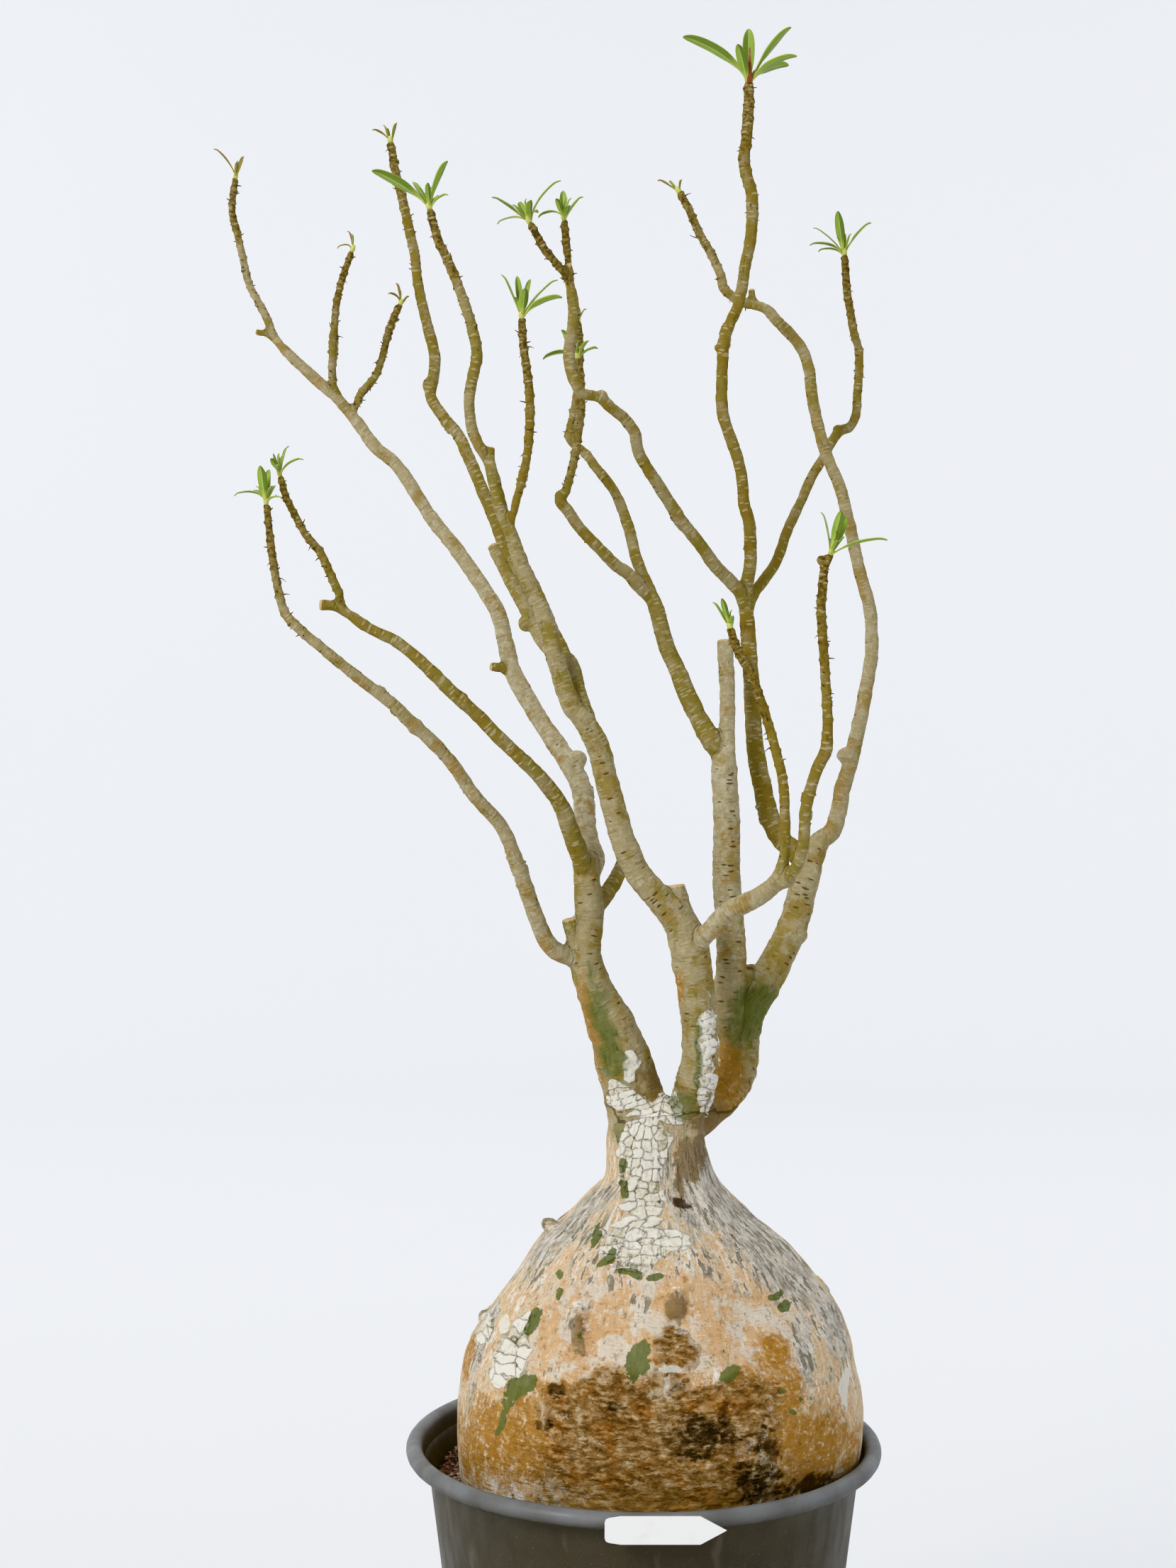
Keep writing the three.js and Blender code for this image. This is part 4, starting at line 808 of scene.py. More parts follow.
def barked(mesh, limbs, base_share=None):
    """Gives a skin the relief of its bark, and the fields that its colours are painted by.
    `base_share`, given for the base alone, says how much of each point is the base's own."""
    evened(mesh, limbs, base_share is not None)
    points, normals = taken(mesh), taken(mesh, "normal")
    spots = nearest_limbs(points, limbs)
    share = base_share(points) if base_share else np.zeros(len(points))
    is_base = share[:, None] > 0.5
    fields = patch_fields(points, normals, share)

    turned_by, along = spots["turn"], spots["along"] + spots["start"]
    length_of_limb = np.c_[
        np.cos(turned_by) * spots["radius"], np.sin(turned_by) * spots["radius"], along
    ]
    angle = np.arctan2((points[:, 1] - BASE_DEPTH) / BASE_FLATTENING, points[:, 0] - BASE_MIDDLE)
    slope = np.c_[
        np.cos(angle) * BELLY_RADIUS, np.sin(angle) * BELLY_RADIUS,
        np.interp(points[:, 2], upward[order], outline_lengths[order]),
    ]
    grain = np.where(is_base, slope, length_of_limb)

    rungs = np.c_[turned_by * spots["radius"], along] / PLATE_ON_LIMB
    squares = np.c_[angle * NECK_RADIUS, slope[:, 2]] / PLATE_ON_BASE
    cells = np.where(is_base, squares, rungs)
    cells += 0.45 * np.c_[clouds(points, 0.009, 41), clouds(points, 0.009, 43)]
    crack, tone = plated_into(cells)
    fields["plates"] += 0.7 * (tone - 0.5) * (fields["plates"] > -0.6)       # lost plate by plate
    plated = smoothstep(-0.04, 0.1, fields["plates"])

    slim = np.minimum(1, spots["radius"] / 0.006)
    young = 1 - smoothstep(0.05, 0.15, spots["to_tip"])
    on_limb = slim * layered(grain, LIMB_RELIEF) + young * LEAF_SCAR_RISE * leaf_scars(spots)
    on_base, shoulder, scar = base_relief(points, slope, fields)
    relief = (
        on_limb * (1 - share) + on_base * share
        + plated * (PLATE_RISE * smoothstep(0.01, 0.13, crack) + PLATE_UNEVENNESS * (tone - 0.4))
        - DARK_PATCH_DEPTH * smoothstep(-0.2, 0.8, fields["dark_and_shade"]) * (1 - scar)
    )
    moved = points + normals * relief[:, None]
    mesh.vertices.foreach_set("co", moved.ravel())
    fields.update(
        grain=grain, age=spots["age"], to_tip=spots["to_tip"], cut=spots["end"],
        base=share, crack=crack, tone=tone, shoulder=shoulder,
        whole=np.maximum(share, smoothstep(0.0004, 0.002, spots["next_gap"] - spots["gap"])),
    )
    for name, values in fields.items():
        write_field(mesh, name, values)
    return mesh


def cut_level(mesh, keep_above, level=CUT_LEVEL):
    """The part of a skin above or below a level: the crown's, unless another is given."""
    bm = bmesh.new()
    bm.from_mesh(mesh)
    bmesh.ops.bisect_plane(
        bm, geom=bm.verts[:] + bm.edges[:] + bm.faces[:], plane_co=(0, 0, level),
        plane_no=(0, 0, 1), clear_inner=keep_above, clear_outer=not keep_above,
    )
    rim = [e for e in bm.edges if e.is_boundary]
    for edge in rim:
        edge.smooth = False
    bmesh.ops.holes_fill(bm, edges=rim, sides=0)
    bmesh.ops.recalc_face_normals(bm, faces=bm.faces)
    return mesh_from(bm)


left_trunk = Limb(LEFT_TRUNK, (0.75, 0.7), "a fork")
middle_trunk = Limb(MIDDLE_TRUNK, (0.7, 0.75, 0.7, 0.6, 0.5))
right_trunk = Limb(RIGHT_TRUNK, (0.7, 0.76, 0.8, 0.66, 0.6))
crown = [trunk.below(TRUNKS_TO) for trunk in (left_trunk, middle_trunk, right_trunk)]

# Knobs of old bark, as [across, up, depth] of the middle and [width, depth, height].
BASE_KNOBS = [
    [[-41.5, 345, -86.5], [13, 14, 26]], [[-41, 334, -93.5], [11, 12, 14]],
    [[20, 356, -92.5], [15, 15, 24]], [[22, 365, -87.5], [11, 16, 9]],
    [[14, 349, -96.5], [10, 12, 12]], [[-60, 409, -4], [11, 10, 10]],
    [[-101, 350, -4], [8, 9, 10]], [[50, 484, 14], [20, 22, 16]],
]

RIDGES_AT, RIDGES_REACH = 405, 70            # heights in millimetres
ROOTS_AT, ROOTS_REACH = 165, 60
SCAR_TOP, SCAR_REACH = 262, 62
SCAR_MIDDLE, SCAR_SPREAD = -math.pi * 0.47, 1.15     # round the axis

outline, places = smooth_through(
    [Vector((radius, 0, height)) * MM for radius, height, _ in BASE_OUTLINE], 0.004
)
middles = np.interp(places, range(len(BASE_OUTLINE)), [m for _, _, m in BASE_OUTLINE]) * MM
body = turned([(max(x, 0), z) for x, _, z in outline], BASE_SIDES)
upward, order = outline[:, 2], np.argsort(outline[:, 2])
outline_lengths = np.concatenate([[0], np.cumsum(np.linalg.norm(np.diff(outline, axis=0), axis=1))])


def falling(distance, reach):
    """1 where the distance is 0, falling smoothly to 0 at the reach."""
    return (1 - min(1, distance / reach) ** 2) ** 2


for corner in body.verts:
    angle = math.atan2(corner.co.y, corner.co.x)
    radius, height = math.hypot(corner.co.x, corner.co.y), corner.co.z / MM
    shoulder = falling(abs(height - RIDGES_AT), RIDGES_REACH)
    ridges = shoulder * (1.5 * math.cos(angle * 9 + 0.6) + 0.9 * math.sin(angle * 14 + 1))
    waist = 1.1 * math.sin(angle * 3 + height * 0.035) + 0.8 * math.sin(angle * 5 - height * 0.06)
    roots = 9 * math.cos(angle * 4 + 0.5) * falling(abs(height - ROOTS_AT), ROOTS_REACH)
    scar = falling(abs(angle - SCAR_MIDDLE), SCAR_SPREAD)
    scar *= falling(max(0, height - SCAR_TOP), SCAR_REACH)
    if radius > 0.004:           # the axis itself stays where it is
        radius += (ridges + waist + roots - 2.6 * scar) * MM
    middle = float(np.interp(corner.co.z, upward[order], middles[order]))
    corner.co.x = middle + radius * math.cos(angle)
    corner.co.y = BASE_DEPTH + radius * math.sin(angle) * BASE_FLATTENING
body_mesh = mesh_from(body)


def base_share(points):
    """1 on the base itself and 0 on the trunks that leave its crown."""
    return smoothstep(*BASE_ENDS, points[:, 2] + 0.012 * clouds(points, 0.02))


base = cut_level(barked(skin(crown, BASE_KNOBS, BASE_VOXEL, body_mesh), crown, base_share), False)
base = cut_level(base, True, ROOT_LEVEL)
rooted = cut_level(body_mesh, False, ROOT_LEVEL)
bm = bmesh.new()
bm.from_mesh(base)
bm.from_mesh(rooted)
base = mesh_from(bm)

bark = Finish("bark", 0.8, Specular_IOR_Level=0.2)
grain = bark.painted("grain").outputs["Vector"]
age, to_tip, cut, on_base, crack, tone, shoulder, whole = (
    bark.painted(name).outputs["Fac"]
    for name in ("age", "to_tip", "cut", "base", "crack", "tone", "shoulder", "whole")
)
plates, green, ochre, peach, ash, white, rough, dark_and_shade, brown_and_shade = (
    bark.painted(name).outputs["Fac"] for name in PATCHES
)
broad = bark.mottle(grain, 0.016, 4)
fine = bark.mottle(bark.stretched(grain, 1, 1, 1.8), 0.003, 4, 0.65)
along = bark.mottle(bark.stretched(grain, 1, 1, 0.2), 0.0024, 3, 0.6)
blotch = bark.mottle(bark.place, 0.014, 5, 0.6)
speckle = bark.mottle(bark.place, 0.0042, 5, 0.65)
dust = bark.mottle(bark.place, 0.0016, 4, 0.7)
wander = bark.scaled(speckle, 3.2, bark.scaled(blotch, 2.6, -2.9))


def worn(field, low=0.0, high=0.18, strength=1.0, raggedness=1.0):
    """How much of a patch shows: its edge wanders with the speckle of the bark."""
    edge = bark.scaled(wander, raggedness, field)
    return bark.between(edge, low, high, 0, strength)


# Limbs: an olive skin under a grey film that flakes with age, crossed by short pale scars
film = bark.scaled(broad, 2.6, bark.scaled(fine, 0.9, -1.75))
film = bark.between(bark.math("ADD", film, age), 0.4, 0.8)
skin_colour = bark.ramp(bark.math("ADD", age, bark.scaled(blotch, 0.9, -0.45)), [
    (0.15, linear(116, 96, 44)), (0.4, linear(140, 120, 60)), (0.6, linear(140, 128, 70)),
    (0.85, linear(160, 136, 86)), (1.0, linear(168, 134, 84)),
])
film_colour = bark.ramp(bark.math("ADD", age, bark.scaled(speckle, 0.9, -0.45)), [
    (0.3, linear(146, 130, 82)), (0.55, linear(160, 146, 106)), (0.8, linear(172, 160, 126)),
    (1.0, linear(198, 190, 164)),
])
limb_colour = bark.mixed(film, skin_colour, film_colour)
scar_cells = bark.add("TexVoronoi", {
    "Vector": bark.stretched(grain, 0.13, 0.13, 0.46), "Scale": 1000.0, "Randomness": 0.9,
})
is_kept = bark.add("SeparateColor", {0: scar_cells.outputs["Color"]}).outputs[0]
from_scar = bark.scaled(fine, 0.5, scar_cells.outputs["Distance"])
scar_line = bark.both(bark.between(from_scar, 0.68, 0.52), bark.between(is_kept, 0.4, 0.46))
limb_colour = bark.mixed(
    bark.both(scar_line, bark.between(age, 0.9, 0.4, 0.25, 0.55)), limb_colour,
    linear(200, 188, 150),
)
rings = bark.mottle(bark.stretched(grain, 0.1, 0.1, 1), 0.0016, 3, 0.6)
limb_colour = bark.mixed(
    bark.between(rings, 0.58, 0.66, 0, 0.3), limb_colour, linear(96, 80, 46)
)
# dark dashes for small notches in the bark, partly their own dark and partly painted shade in them
nicks_and_shade = bark.both(bark.between(from_scar, 0.6, 0.48), bark.between(is_kept, 0.2, 0.16))
limb_colour = bark.mixed(bark.both(nicks_and_shade, 0.8), limb_colour, linear(74, 58, 34))
limb_colour = bark.mixed(
    bark.between(dust, 0.6, 0.72, 0, 0.4), limb_colour, linear(96, 80, 50)
)
young = bark.between(bark.scaled(broad, 0.05, to_tip), 0.095, 0.035)
young_colour = bark.mixed(
    bark.between(fine, 0.36, 0.64), linear(70, 54, 30), linear(154, 134, 80)
)
young_colour = bark.mixed(bark.both(scar_line, 0.7), young_colour, linear(190, 178, 134))
limb_colour = bark.mixed(bark.both(young, 0.85), limb_colour, young_colour)

# Base: streaks of cream, orange, white and grey-green that run down from the neck
streaks = bark.mottle(bark.stretched(grain, 1, 1, 0.2), 0.0044, 5, 0.7)
base_colour = bark.ramp(streaks, [
    (0.32, linear(108, 110, 86)), (0.4, linear(178, 168, 142)), (0.46, linear(220, 206, 180)),
    (0.53, linear(208, 166, 116)), (0.58, linear(226, 212, 188)), (0.68, linear(240, 236, 226)),
])
belly = bark.mixed(
    bark.mottle(bark.place, 0.02, 4), linear(196, 146, 86), linear(220, 194, 158)
)
smear = bark.mottle(bark.stretched(grain, 1, 1, 0.6), 0.012, 5, 0.6)
belly = bark.mixed(bark.between(smear, 0.47, 0.56, 0, 0.85), belly, linear(216, 208, 194))
belly = bark.mixed(bark.between(fine, 0.54, 0.68, 0, 0.5), belly, linear(170, 118, 70))
belly = bark.mixed(bark.between(along, 0.58, 0.7, 0, 0.5), belly, linear(234, 222, 204))
base_colour = bark.mixed(worn(peach, -0.3, 0.5, 0.92), base_colour, belly)
ashen = bark.ramp(bark.mottle(bark.stretched(grain, 1, 1, 0.35), 0.0045, 5, 0.7), [
    (0.35, linear(128, 124, 112)), (0.47, linear(176, 170, 158)), (0.56, linear(206, 200, 188)),
    (0.68, linear(228, 224, 214)),
])
base_colour = bark.mixed(worn(ash, -0.3, 0.5, 0.9), base_colour, ashen)
slit_noise = bark.mottle(bark.stretched(grain, 1, 1, 0.24), 0.0029, 3, 0.6)
slits = bark.both(bark.between(slit_noise, 0.55, 0.61), bark.between(shoulder, 0.15, 0.6))
slits = bark.math("MAXIMUM", slits, bark.between(slit_noise, 0.65, 0.7, 0, 0.7))
lips = bark.both(bark.between(slit_noise, 0.47, 0.53), bark.between(shoulder, 0.1, 0.6, 0, 0.45))
base_colour = bark.mixed(lips, base_colour, linear(232, 228, 218))
slit_colour = bark.mixed(blotch, linear(116, 102, 90), linear(114, 116, 88))
base_colour = bark.mixed(bark.both(slits, 0.8), base_colour, slit_colour)
amber = bark.mixed(fine, linear(122, 82, 30), linear(202, 150, 72))
amber = bark.mixed(bark.between(speckle, 0.5, 0.64, 0, 0.6), amber, linear(216, 184, 136))

# Scar: thin flakes that lie level, tan to brown, and darkened at its lower right
stir = bark.add("TexNoise", {"Vector": bark.place, "Scale": 300.0, "Detail": 2.0}).outputs["Color"]
stirred = bark.add("VectorMath", {0: stir, 1: (0.0035,) * 3, 2: bark.place}, operation="MULTIPLY_ADD")
flake_cells = bark.add("TexVoronoi", {
    "Vector": bark.stretched(stirred.outputs[0], 0.22, 0.22, 0.7), "Scale": 1000.0,
})
flake_tone = bark.add("SeparateColor", {0: flake_cells.outputs["Color"]}).outputs[0]
cloudy = bark.mottle(bark.stretched(bark.place, 1, 1, 1.9), 0.0075, 8, 0.74)
layers = bark.scaled(flake_tone, 0.16, bark.scaled(cloudy, 0.95, -0.055))
scar_colour = bark.ramp(layers, [
    (0.34, linear(94, 70, 44)), (0.43, linear(138, 106, 66)), (0.5, linear(170, 134, 88)),
    (0.57, linear(198, 166, 120)), (0.68, linear(228, 210, 176)),
])
scar_colour = bark.mixed(
    bark.between(blotch, 0.5, 0.66, 0, 0.55), scar_colour,
    bark.mixed(1.0, scar_colour, linear(246, 194, 124), "MULTIPLY"),
)
height = bark.add("SeparateXYZ", {0: bark.place}).outputs["Z"]
# painted light: the scar is painted lighter towards its foot, against the shade where the belly
# curves under
scar_colour = bark.mixed(
    bark.between(height, 0.285, 0.25, 0, 0.6), scar_colour, linear(222, 178, 112)
)
dark_scar = bark.ramp(layers, [
    (0.42, linear(24, 19, 14)), (0.52, linear(66, 54, 38)), (0.62, linear(150, 130, 96)),
    (0.7, linear(214, 200, 168)),
])
scar_colour = bark.mixed(worn(dark_and_shade, -0.2, 0.7, 0.9), scar_colour, dark_scar)
base_colour = bark.mixed(bark.both(worn(ochre, -0.4, 0.5), 0.95), base_colour, amber)
fleck = bark.mottle(bark.stretched(grain, 1, 1, 0.5), 0.0024, 4, 0.75)
for share, coat in (
    (bark.between(fleck, 0.44, 0.34, 0, 0.55), linear(134, 98, 58)),
    (bark.between(fleck, 0.56, 0.66, 0, 0.6), linear(236, 224, 202)),
    (worn(rough, -0.35, 0.45), scar_colour),
    (bark.between(dust, 0.6, 0.72, 0, 0.4), linear(120, 96, 66)),
):
    base_colour = bark.mixed(share, base_colour, coat)
below_neck = bark.both(on_base, bark.between(height, 0.492, 0.448, 0.25, 1.0))
colour = bark.mixed(below_neck, limb_colour, base_colour)

# Patches on both
on_limbs = bark.math("SUBTRACT", 1.0, on_base)
rusty = bark.both(worn(ochre, -0.4, 0.6, 0.75), on_limbs)
colour = bark.mixed(rusty, colour, amber)
# brown patches: the bark's own brown, and painted shade on the neck
colour = bark.mixed(worn(brown_and_shade, -0.2, 0.5, 0.8), colour, bark.mixed(
    fine, linear(88, 68, 40), linear(164, 140, 100)
))
plate_shows = worn(plates, -0.02, 0.05, 1.0, 0.12)
plate_tone = bark.scaled(speckle, 0.8, bark.scaled(tone, 0.22, 0.02))
plate_colour = bark.ramp(plate_tone, [
    (0.3, linear(160, 150, 116)), (0.4, linear(206, 198, 174)), (0.5, linear(228, 223, 208)),
    (0.8, linear(240, 237, 228)),
])
colour = bark.mixed(plate_shows, colour, plate_colour)
crack_edge = bark.scaled(dust, 0.07, crack)
crack_shows = bark.both(plate_shows, bark.between(crack_edge, 0.085, 0.045, 0, 0.9))
colour = bark.mixed(crack_shows, colour, bark.mixed(blotch, linear(84, 66, 42), linear(92, 90, 48)))
colour = bark.mixed(worn(white, 0.0, 0.2, 0.9, 0.6), colour, linear(230, 224, 210))
moss = bark.mixed(along, linear(58, 76, 32), linear(132, 138, 86))
moss_shows = bark.math(
    "MAXIMUM", bark.both(worn(green, 0.1, 0.24, 0.92, 0.6), on_base),
    bark.both(worn(green, -0.5, 0.9, 0.85), on_limbs),
)
colour = bark.mixed(moss_shows, colour, moss)
# dark patches off the scar: a wound on the neck, and painted shade low on the right where the belly
# turns under
dark_and_shade_shows = bark.both(worn(dark_and_shade, -0.1, 0.6, 0.85), bark.between(rough, 0.2, -0.2))
colour = bark.mixed(dark_and_shade_shows, colour, linear(66, 50, 36))
colour = bark.mixed(bark.between(cut, 0.4, 0.7), colour, linear(206, 184, 142))
bark.to_shader("Base Color", colour)
bark.to_shader("Roughness", bark.between(fine, 0.3, 0.7, 0.62, 0.88))
scar_bump = bark.both(layers, bark.between(rough, -0.2, 0.2))
crack_bump = bark.both(plate_shows, bark.between(crack_edge, 0.05, 0.16))
bark.bumps(
    (dust, 0.0005), (blotch, 0.0006), (scar_bump, 0.0028), (crack_bump, 0.0006),
    (bark.both(slits, -1.0), 0.0009),
    *[
        (bark.both(marks, whole), depth)
        for marks, depth in ((fine, 0.0008), (scar_line, 0.0003), (rings, 0.0003), (along, 0.0005))
    ],
)

settled("swollen_base", base, bark.material, "caudex_bark", "caudex")

# ------------------------------------------------------------------------------------------------
# Left stem: an olive trunk that forks into four bare limbs, thin and notched by leaf scars at
# their ends. Grown in one piece under thin bark, which turns from green to flaking grey with age.
# ------------------------------------------------------------------------------------------------

LEFT_LIMBS = {
    "lowest": [
        [-38, 576, -12, 13], [-48.3, 579, -16, 12], [-55, 582, -20, 12], [-61, 588, -24, 11.4],
        [-70.5, 610, -32, 10.4], [-77, 630, -38, 10], [-81, 641, -42, 9.6], [-90, 661, -48, 9.4],
        [-105.5, 678.5, -56, 9], [-121, 700.5, -63, 8.8], [-136, 717, -70, 9],
        [-149.5, 729, -75, 9], [-158, 738, -78, 8.5], [-172.5, 749, -82, 8],
        [-200, 771, -89, 7.3], [-220, 788, -92, 6.6], [-226.5, 795, -93, 6.4],
        [-230, 804, -94, 6], [-235, 830, -96, 5.4], [-239, 864, -98, 4.5],
    ],
    "olive": [
        [-36, 626, -14, 13], [-38, 636, -18, 13], [-45, 655, -28, 12], [-51.5, 673, -36, 11],
        [-61, 687, -43, 9.8], [-74, 701, -50, 9.4], [-91, 717, -56, 9], [-105.5, 732, -60, 9],
        [-120, 745, -64, 9], [-138, 763, -67, 8.5], [-156, 778, -70, 7.7], [-174, 787, -72, 7.4],
        [-196, 801, -74, 7.2], [-205, 801.5, -75, 7],
    ],
    "olive_twig": [
        [-190, 797, -74, 6], [-193, 808, -76, 6], [-199, 822, -80, 5.8], [-205, 835, -83, 5.6],
        [-214, 846, -86, 5.2], [-221, 858.5, -88, 5], [-227, 871, -89, 4.8],
        [-230, 882, -90, 4.5],
    ],
    "grey": [
        [-36, 626, -13, 14], [-31, 639, -6, 14], [-34, 650, 0, 13.5], [-36.6, 664, 6, 13.5],
        [-39.4, 686, 16, 13.8], [-47, 701, 22, 13.2], [-60.5, 721, 30, 12],
        [-73.5, 742, 37, 11.8], [-83, 760, 43, 11.6], [-87.5, 778, 48, 11], [-92, 796, 52, 10.5],
        [-108, 822, 58, 9.8], [-120, 839, 62, 9.5], [-133, 855, 66, 9], [-157, 891, 72, 8.6],
        [-170, 902, 74, 8.5], [-181, 917, 76, 8.1], [-194.5, 933, 77, 8], [-210, 947, 78, 7.7],
        [-226, 962, 78, 6.8], [-233, 970, 78, 6.5], [-241, 988, 76, 5.4], [-250, 1005, 74, 5.2],
        [-254, 1021.5, 72, 5], [-257.5, 1037, 70, 5], [-261, 1052, 68, 4.7],
        [-259, 1071, 66, 4.2],
    ],
    "grey_inner_twig": [
        [-193, 933, 77, 5.8], [-197, 943, 74, 5.6], [-197, 961, 68, 5.4], [-196, 979, 62, 5],
        [-194, 997, 57, 4.8], [-190, 1012, 53, 4.5], [-185.5, 1024.5, 50, 4.2],
    ],
    "grey_outer_twig": [
        [-187, 923, 76, 5.6], [-183, 927, 78, 5.4], [-179, 936, 84, 5.4], [-170, 947, 91, 5],
        [-165, 961, 98, 4.6], [-161, 976.5, 105, 4.5], [-155, 991, 111, 4.3],
    ],
    "hidden": [
        [-33, 604, -12, 11], [-27, 613, -4, 11], [-16, 630, 12, 10], [-12, 641, 22, 9.5],
        [-15, 664, 38, 9], [-20, 686, 50, 9], [-28, 712, 60, 8.6], [-40, 745, 71, 8.5],
        [-52, 775, 80, 8.3], [-63, 795, 85, 8.2], [-84, 828, 94, 8.1], [-91.5, 848, 98, 8.1],
        [-100.5, 871, 102, 8.1], [-112, 898, 106, 8.1], [-117, 909, 108, 8],
        [-126, 920, 110, 7.8], [-135, 934.5, 112, 7.6], [-133, 947, 113, 7.6],
        [-132.5, 961, 114, 7.4], [-137, 979, 115, 7.2], [-143, 1006, 117, 6.8],
        [-145, 1024, 118, 6.5], [-149, 1042, 119, 6.4], [-153, 1060, 120, 6.2],
        [-157, 1076, 120, 5.6], [-160, 1093.5, 120, 5],
    ],
    "low_stub": [
        [-39, 578, -13, 10], [-44, 590, -15, 10], [-47.5, 602, -16, 9],
    ],
    "bud_stub": [
        [-84, 760, 43, 9], [-91, 762, 40, 7], [-97, 762.5, 38, 5],
    ],
    "elbow_stub": [
        [-233, 970, 78, 6], [-240, 974, 78, 5], [-246, 975, 78, 3.6],
    ],
}
LEFT_KNOBS = [
    [[-42, 703, 20], [13, 12, 13]],
    [[-144.5, 724.5, -73], [10, 10, 10]],
    [[-137.4, 941, 112], [6, 7, 10]],
    [[-40, 583, -12], [20, 18, 26]],
]
LEFT_BARK = {                # how old the bark is from start to end, and what the limb ends in
    "lowest": [(0.82, 0.76, 0.6)],
    "olive": [(0.5, 0.5), "a cut"],
    "olive_twig": [(0.45, 0.4)],
    "grey": [(0.88, 0.84, 0.76, 0.7)],
    "grey_inner_twig": [(0.6, 0.5)],
    "grey_outer_twig": [(0.6, 0.5)],
    "hidden": [(0.55, 0.5, 0.5)],
    "low_stub": [(0.6, 0.6), "a cut"],
    "bud_stub": [(0.5, 0.4), "a cut"],
    "elbow_stub": [(0.5, 0.4), "a cut"],
}

STEM_VOXEL = 0.00115
STALK_REACH = 0.09           # the young wood of a shoot that still carries dried stalks
STALK_RADIUS = 0.0006
STALK_SPACING = (0.002, 0.007)
STALK_LENGTHS = (0.0008, 0.0026)

dry = Finish("dry_stalk", 0.85)
dry_tone = dry.mottle(dry.place, 0.004, 3)
dry.to_shader("Base Color", dry.mixed(dry_tone, linear(38, 28, 18), linear(118, 92, 56)))
dry.bumps((dry.mottle(dry.place, 0.0008, 2), 0.0002))


def dried_stalks(limbs, draw):
    """The stalks of fallen leaves on the young wood: thin and dark, and bent up or down."""
    bm = bmesh.new()
    for limb in limbs:
        from_tip = 0.004
        while limb.ends_in == "leaves" and from_tip < STALK_REACH:
            ring = np.searchsorted(limb.lengths, limb.lengths[-1] - from_tip)
            shoot, radius = Vector(limb.tangents[ring]), limb.radii[ring]
            outward = Matrix.Rotation(draw.uniform(0, 2 * math.pi), 3, shoot) @ shoot.orthogonal()
            outward = (outward.normalized() + shoot * draw.uniform(0.1, 0.7)).normalized()
            length = draw.uniform(*STALK_LENGTHS) * (1.9 if draw.random() < 0.1 else 1)
            length += radius * 0.3
            already = len(bm.verts)
            cone = bmesh.ops.create_cone(
                bm, cap_ends=True, segments=5, radius1=STALK_RADIUS, radius2=STALK_RADIUS * 0.45,
                depth=length, matrix=Matrix.Translation((0, 0, length / 2)),
            )
            lengthwise = [
                e for v in cone["verts"] for e in v.link_edges
                if v.co.z < length / 2 < e.other_vert(v).co.z
            ]
            bmesh.ops.subdivide_edges(bm, edges=list(set(lengthwise)), cuts=2)
            bm.verts.ensure_lookup_table()
            hook = draw.uniform(-0.8, 0.5)
            stands = outward.to_track_quat("Z", "Y").to_matrix()
            foot = Vector(limb.centres[ring]) + outward * radius * 0.7
            for corner in bm.verts[already:]:
                bend = shoot * hook * corner.co.z ** 2 / length
                corner.co = foot + stands @ corner.co + bend
            from_tip += draw.uniform(*STALK_SPACING)
    return mesh_from(bm)


def stem(name, node, trunk, routes, ages, knobs, voxel):
    """Settles one stem from the crown up, with all its limbs, and its dried stalks."""
    limbs = {limb: Limb(route, *ages.get(limb, ())) for limb, route in routes.items()}
    every = [trunk, *limbs.values()]
    mesh = barked(skin(every, knobs, voxel), every)
    settled(name, cut_level(mesh, keep_above=True), bark.material, "stem_bark", node)
    stalks = dried_stalks(every, random.Random(name))
    settled(name + "_dried_stalks", stalks, dry.material, "stem_bark")
    return limbs


left_limbs = stem(
    "left_stem", "stem_left", left_trunk, LEFT_LIMBS, LEFT_BARK, LEFT_KNOBS, STEM_VOXEL
)

# ------------------------------------------------------------------------------------------------
# Middle stem: a thick trunk sawn off and healed over, with one long limb that leans left and one
# low limb that forks on the right. Its trunk carries a ladder of loose white bark plates.
# ------------------------------------------------------------------------------------------------

